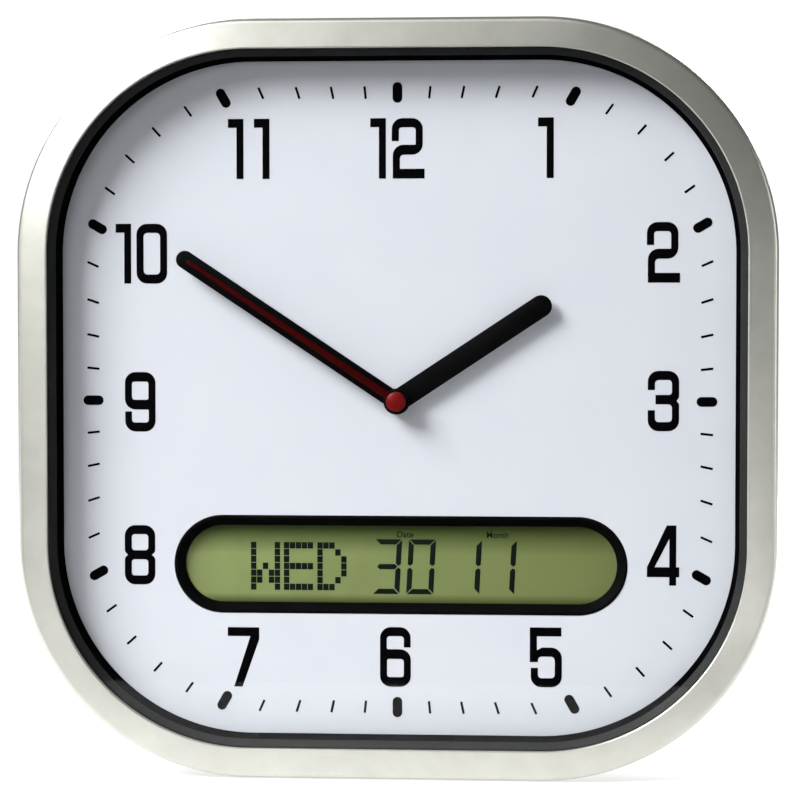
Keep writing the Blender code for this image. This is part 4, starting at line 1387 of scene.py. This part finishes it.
def make_camera():
    """Nearly square on, a little from the right and above."""
    centre = Vector((CASE_CENTRE[0] * MM, -RIM_FRONT * MM, CASE_CENTRE[1] * MM))
    direction = Vector((
        math.sin(CAMERA_AZIMUTH) * math.cos(CAMERA_ELEVATION),
        -math.cos(CAMERA_AZIMUTH) * math.cos(CAMERA_ELEVATION),
        math.sin(CAMERA_ELEVATION),
    ))
    aim = centre + Vector(CAMERA_AIM)
    data = bpy.data.cameras.new("camera")
    data.lens = CAMERA_LENS
    data.sensor_width = 36
    data.clip_start = 0.01
    camera = new_object("camera", data)
    camera.location = centre + direction * CAMERA_DISTANCE
    camera.rotation_euler = (aim - camera.location).to_track_quat("-Z", "Y").to_euler()
    bpy.context.scene.camera = camera


def softbox(name, place, width, height, radiance):
    """A rectangular light that faces the clock."""
    data = bpy.data.lights.new(name, "AREA")
    data.shape = "RECTANGLE"
    data.size = width
    data.size_y = height
    data.energy = radiance * 4 * width * height
    lamp = new_object(name, data)
    lamp.location = place
    lamp.rotation_euler = (-Vector(place)).to_track_quat("-Z", "Y").to_euler()


def make_studio():
    """Soft lights, a dim front half and a white back half of the room, and a white backdrop."""
    for light in LIGHTS:
        softbox(*light)
    world = bpy.data.worlds.new("studio")
    bpy.context.scene.world = world
    world.use_nodes = True
    tree = world.node_tree
    ambient = tree.nodes["Background"]
    direction = by_axis(tree, node(tree, "ShaderNodeTexCoord").outputs["Generated"])
    link(tree, spread(tree, direction["Y"], 0.02, 1.0, (-0.25, 0.08)), ambient.inputs["Strength"])
    seen = node(tree, "ShaderNodeBackground")
    set_inputs(seen, {"Color": (1, 1, 1, 1), "Strength": 1.05})
    path = node(tree, "ShaderNodeLightPath")
    mix = node(tree, "ShaderNodeMixShader")
    link(tree, path.outputs["Is Camera Ray"], mix.inputs["Fac"])
    link(tree, ambient.outputs["Background"], mix.inputs[1])
    link(tree, seen.outputs["Background"], mix.inputs[2])
    link(tree, mix.outputs["Shader"], tree.nodes["World Output"].inputs["Surface"])
    view = bpy.context.scene.view_settings
    view.view_transform = "Standard"
    view.look = "None"


def make_floor():
    """A pale table top that ends a little way in front of the clock."""
    level = cad_box[0][2] - FLOOR_GAP

    def make(body):
        bmesh.ops.create_grid(body, x_segments=24, y_segments=24, size=1)
        for vert in body.verts:
            vert.co.x *= FLOOR_HALF_WIDTH
            vert.co.y = FLOOR_FRONT + (vert.co.y + 1) / 2 * FLOOR_DEPTH
            vert.co.z = level

    mesh = mesh_from(make)
    mesh.materials.append(FLOOR)
    new_object("floor", mesh)


make_camera()
make_studio()
make_floor()
dress_frame()
make_bezel()
make_inner_ring()
make_dial()
make_window_frame()
make_numerals()
make_marks()
make_readout()
make_captions()
make_hour_and_minute()
make_second_hand()
make_rear_cover()
make_screws()
make_knob()
make_doors()
make_buttons()

bpy.context.view_layer.update()
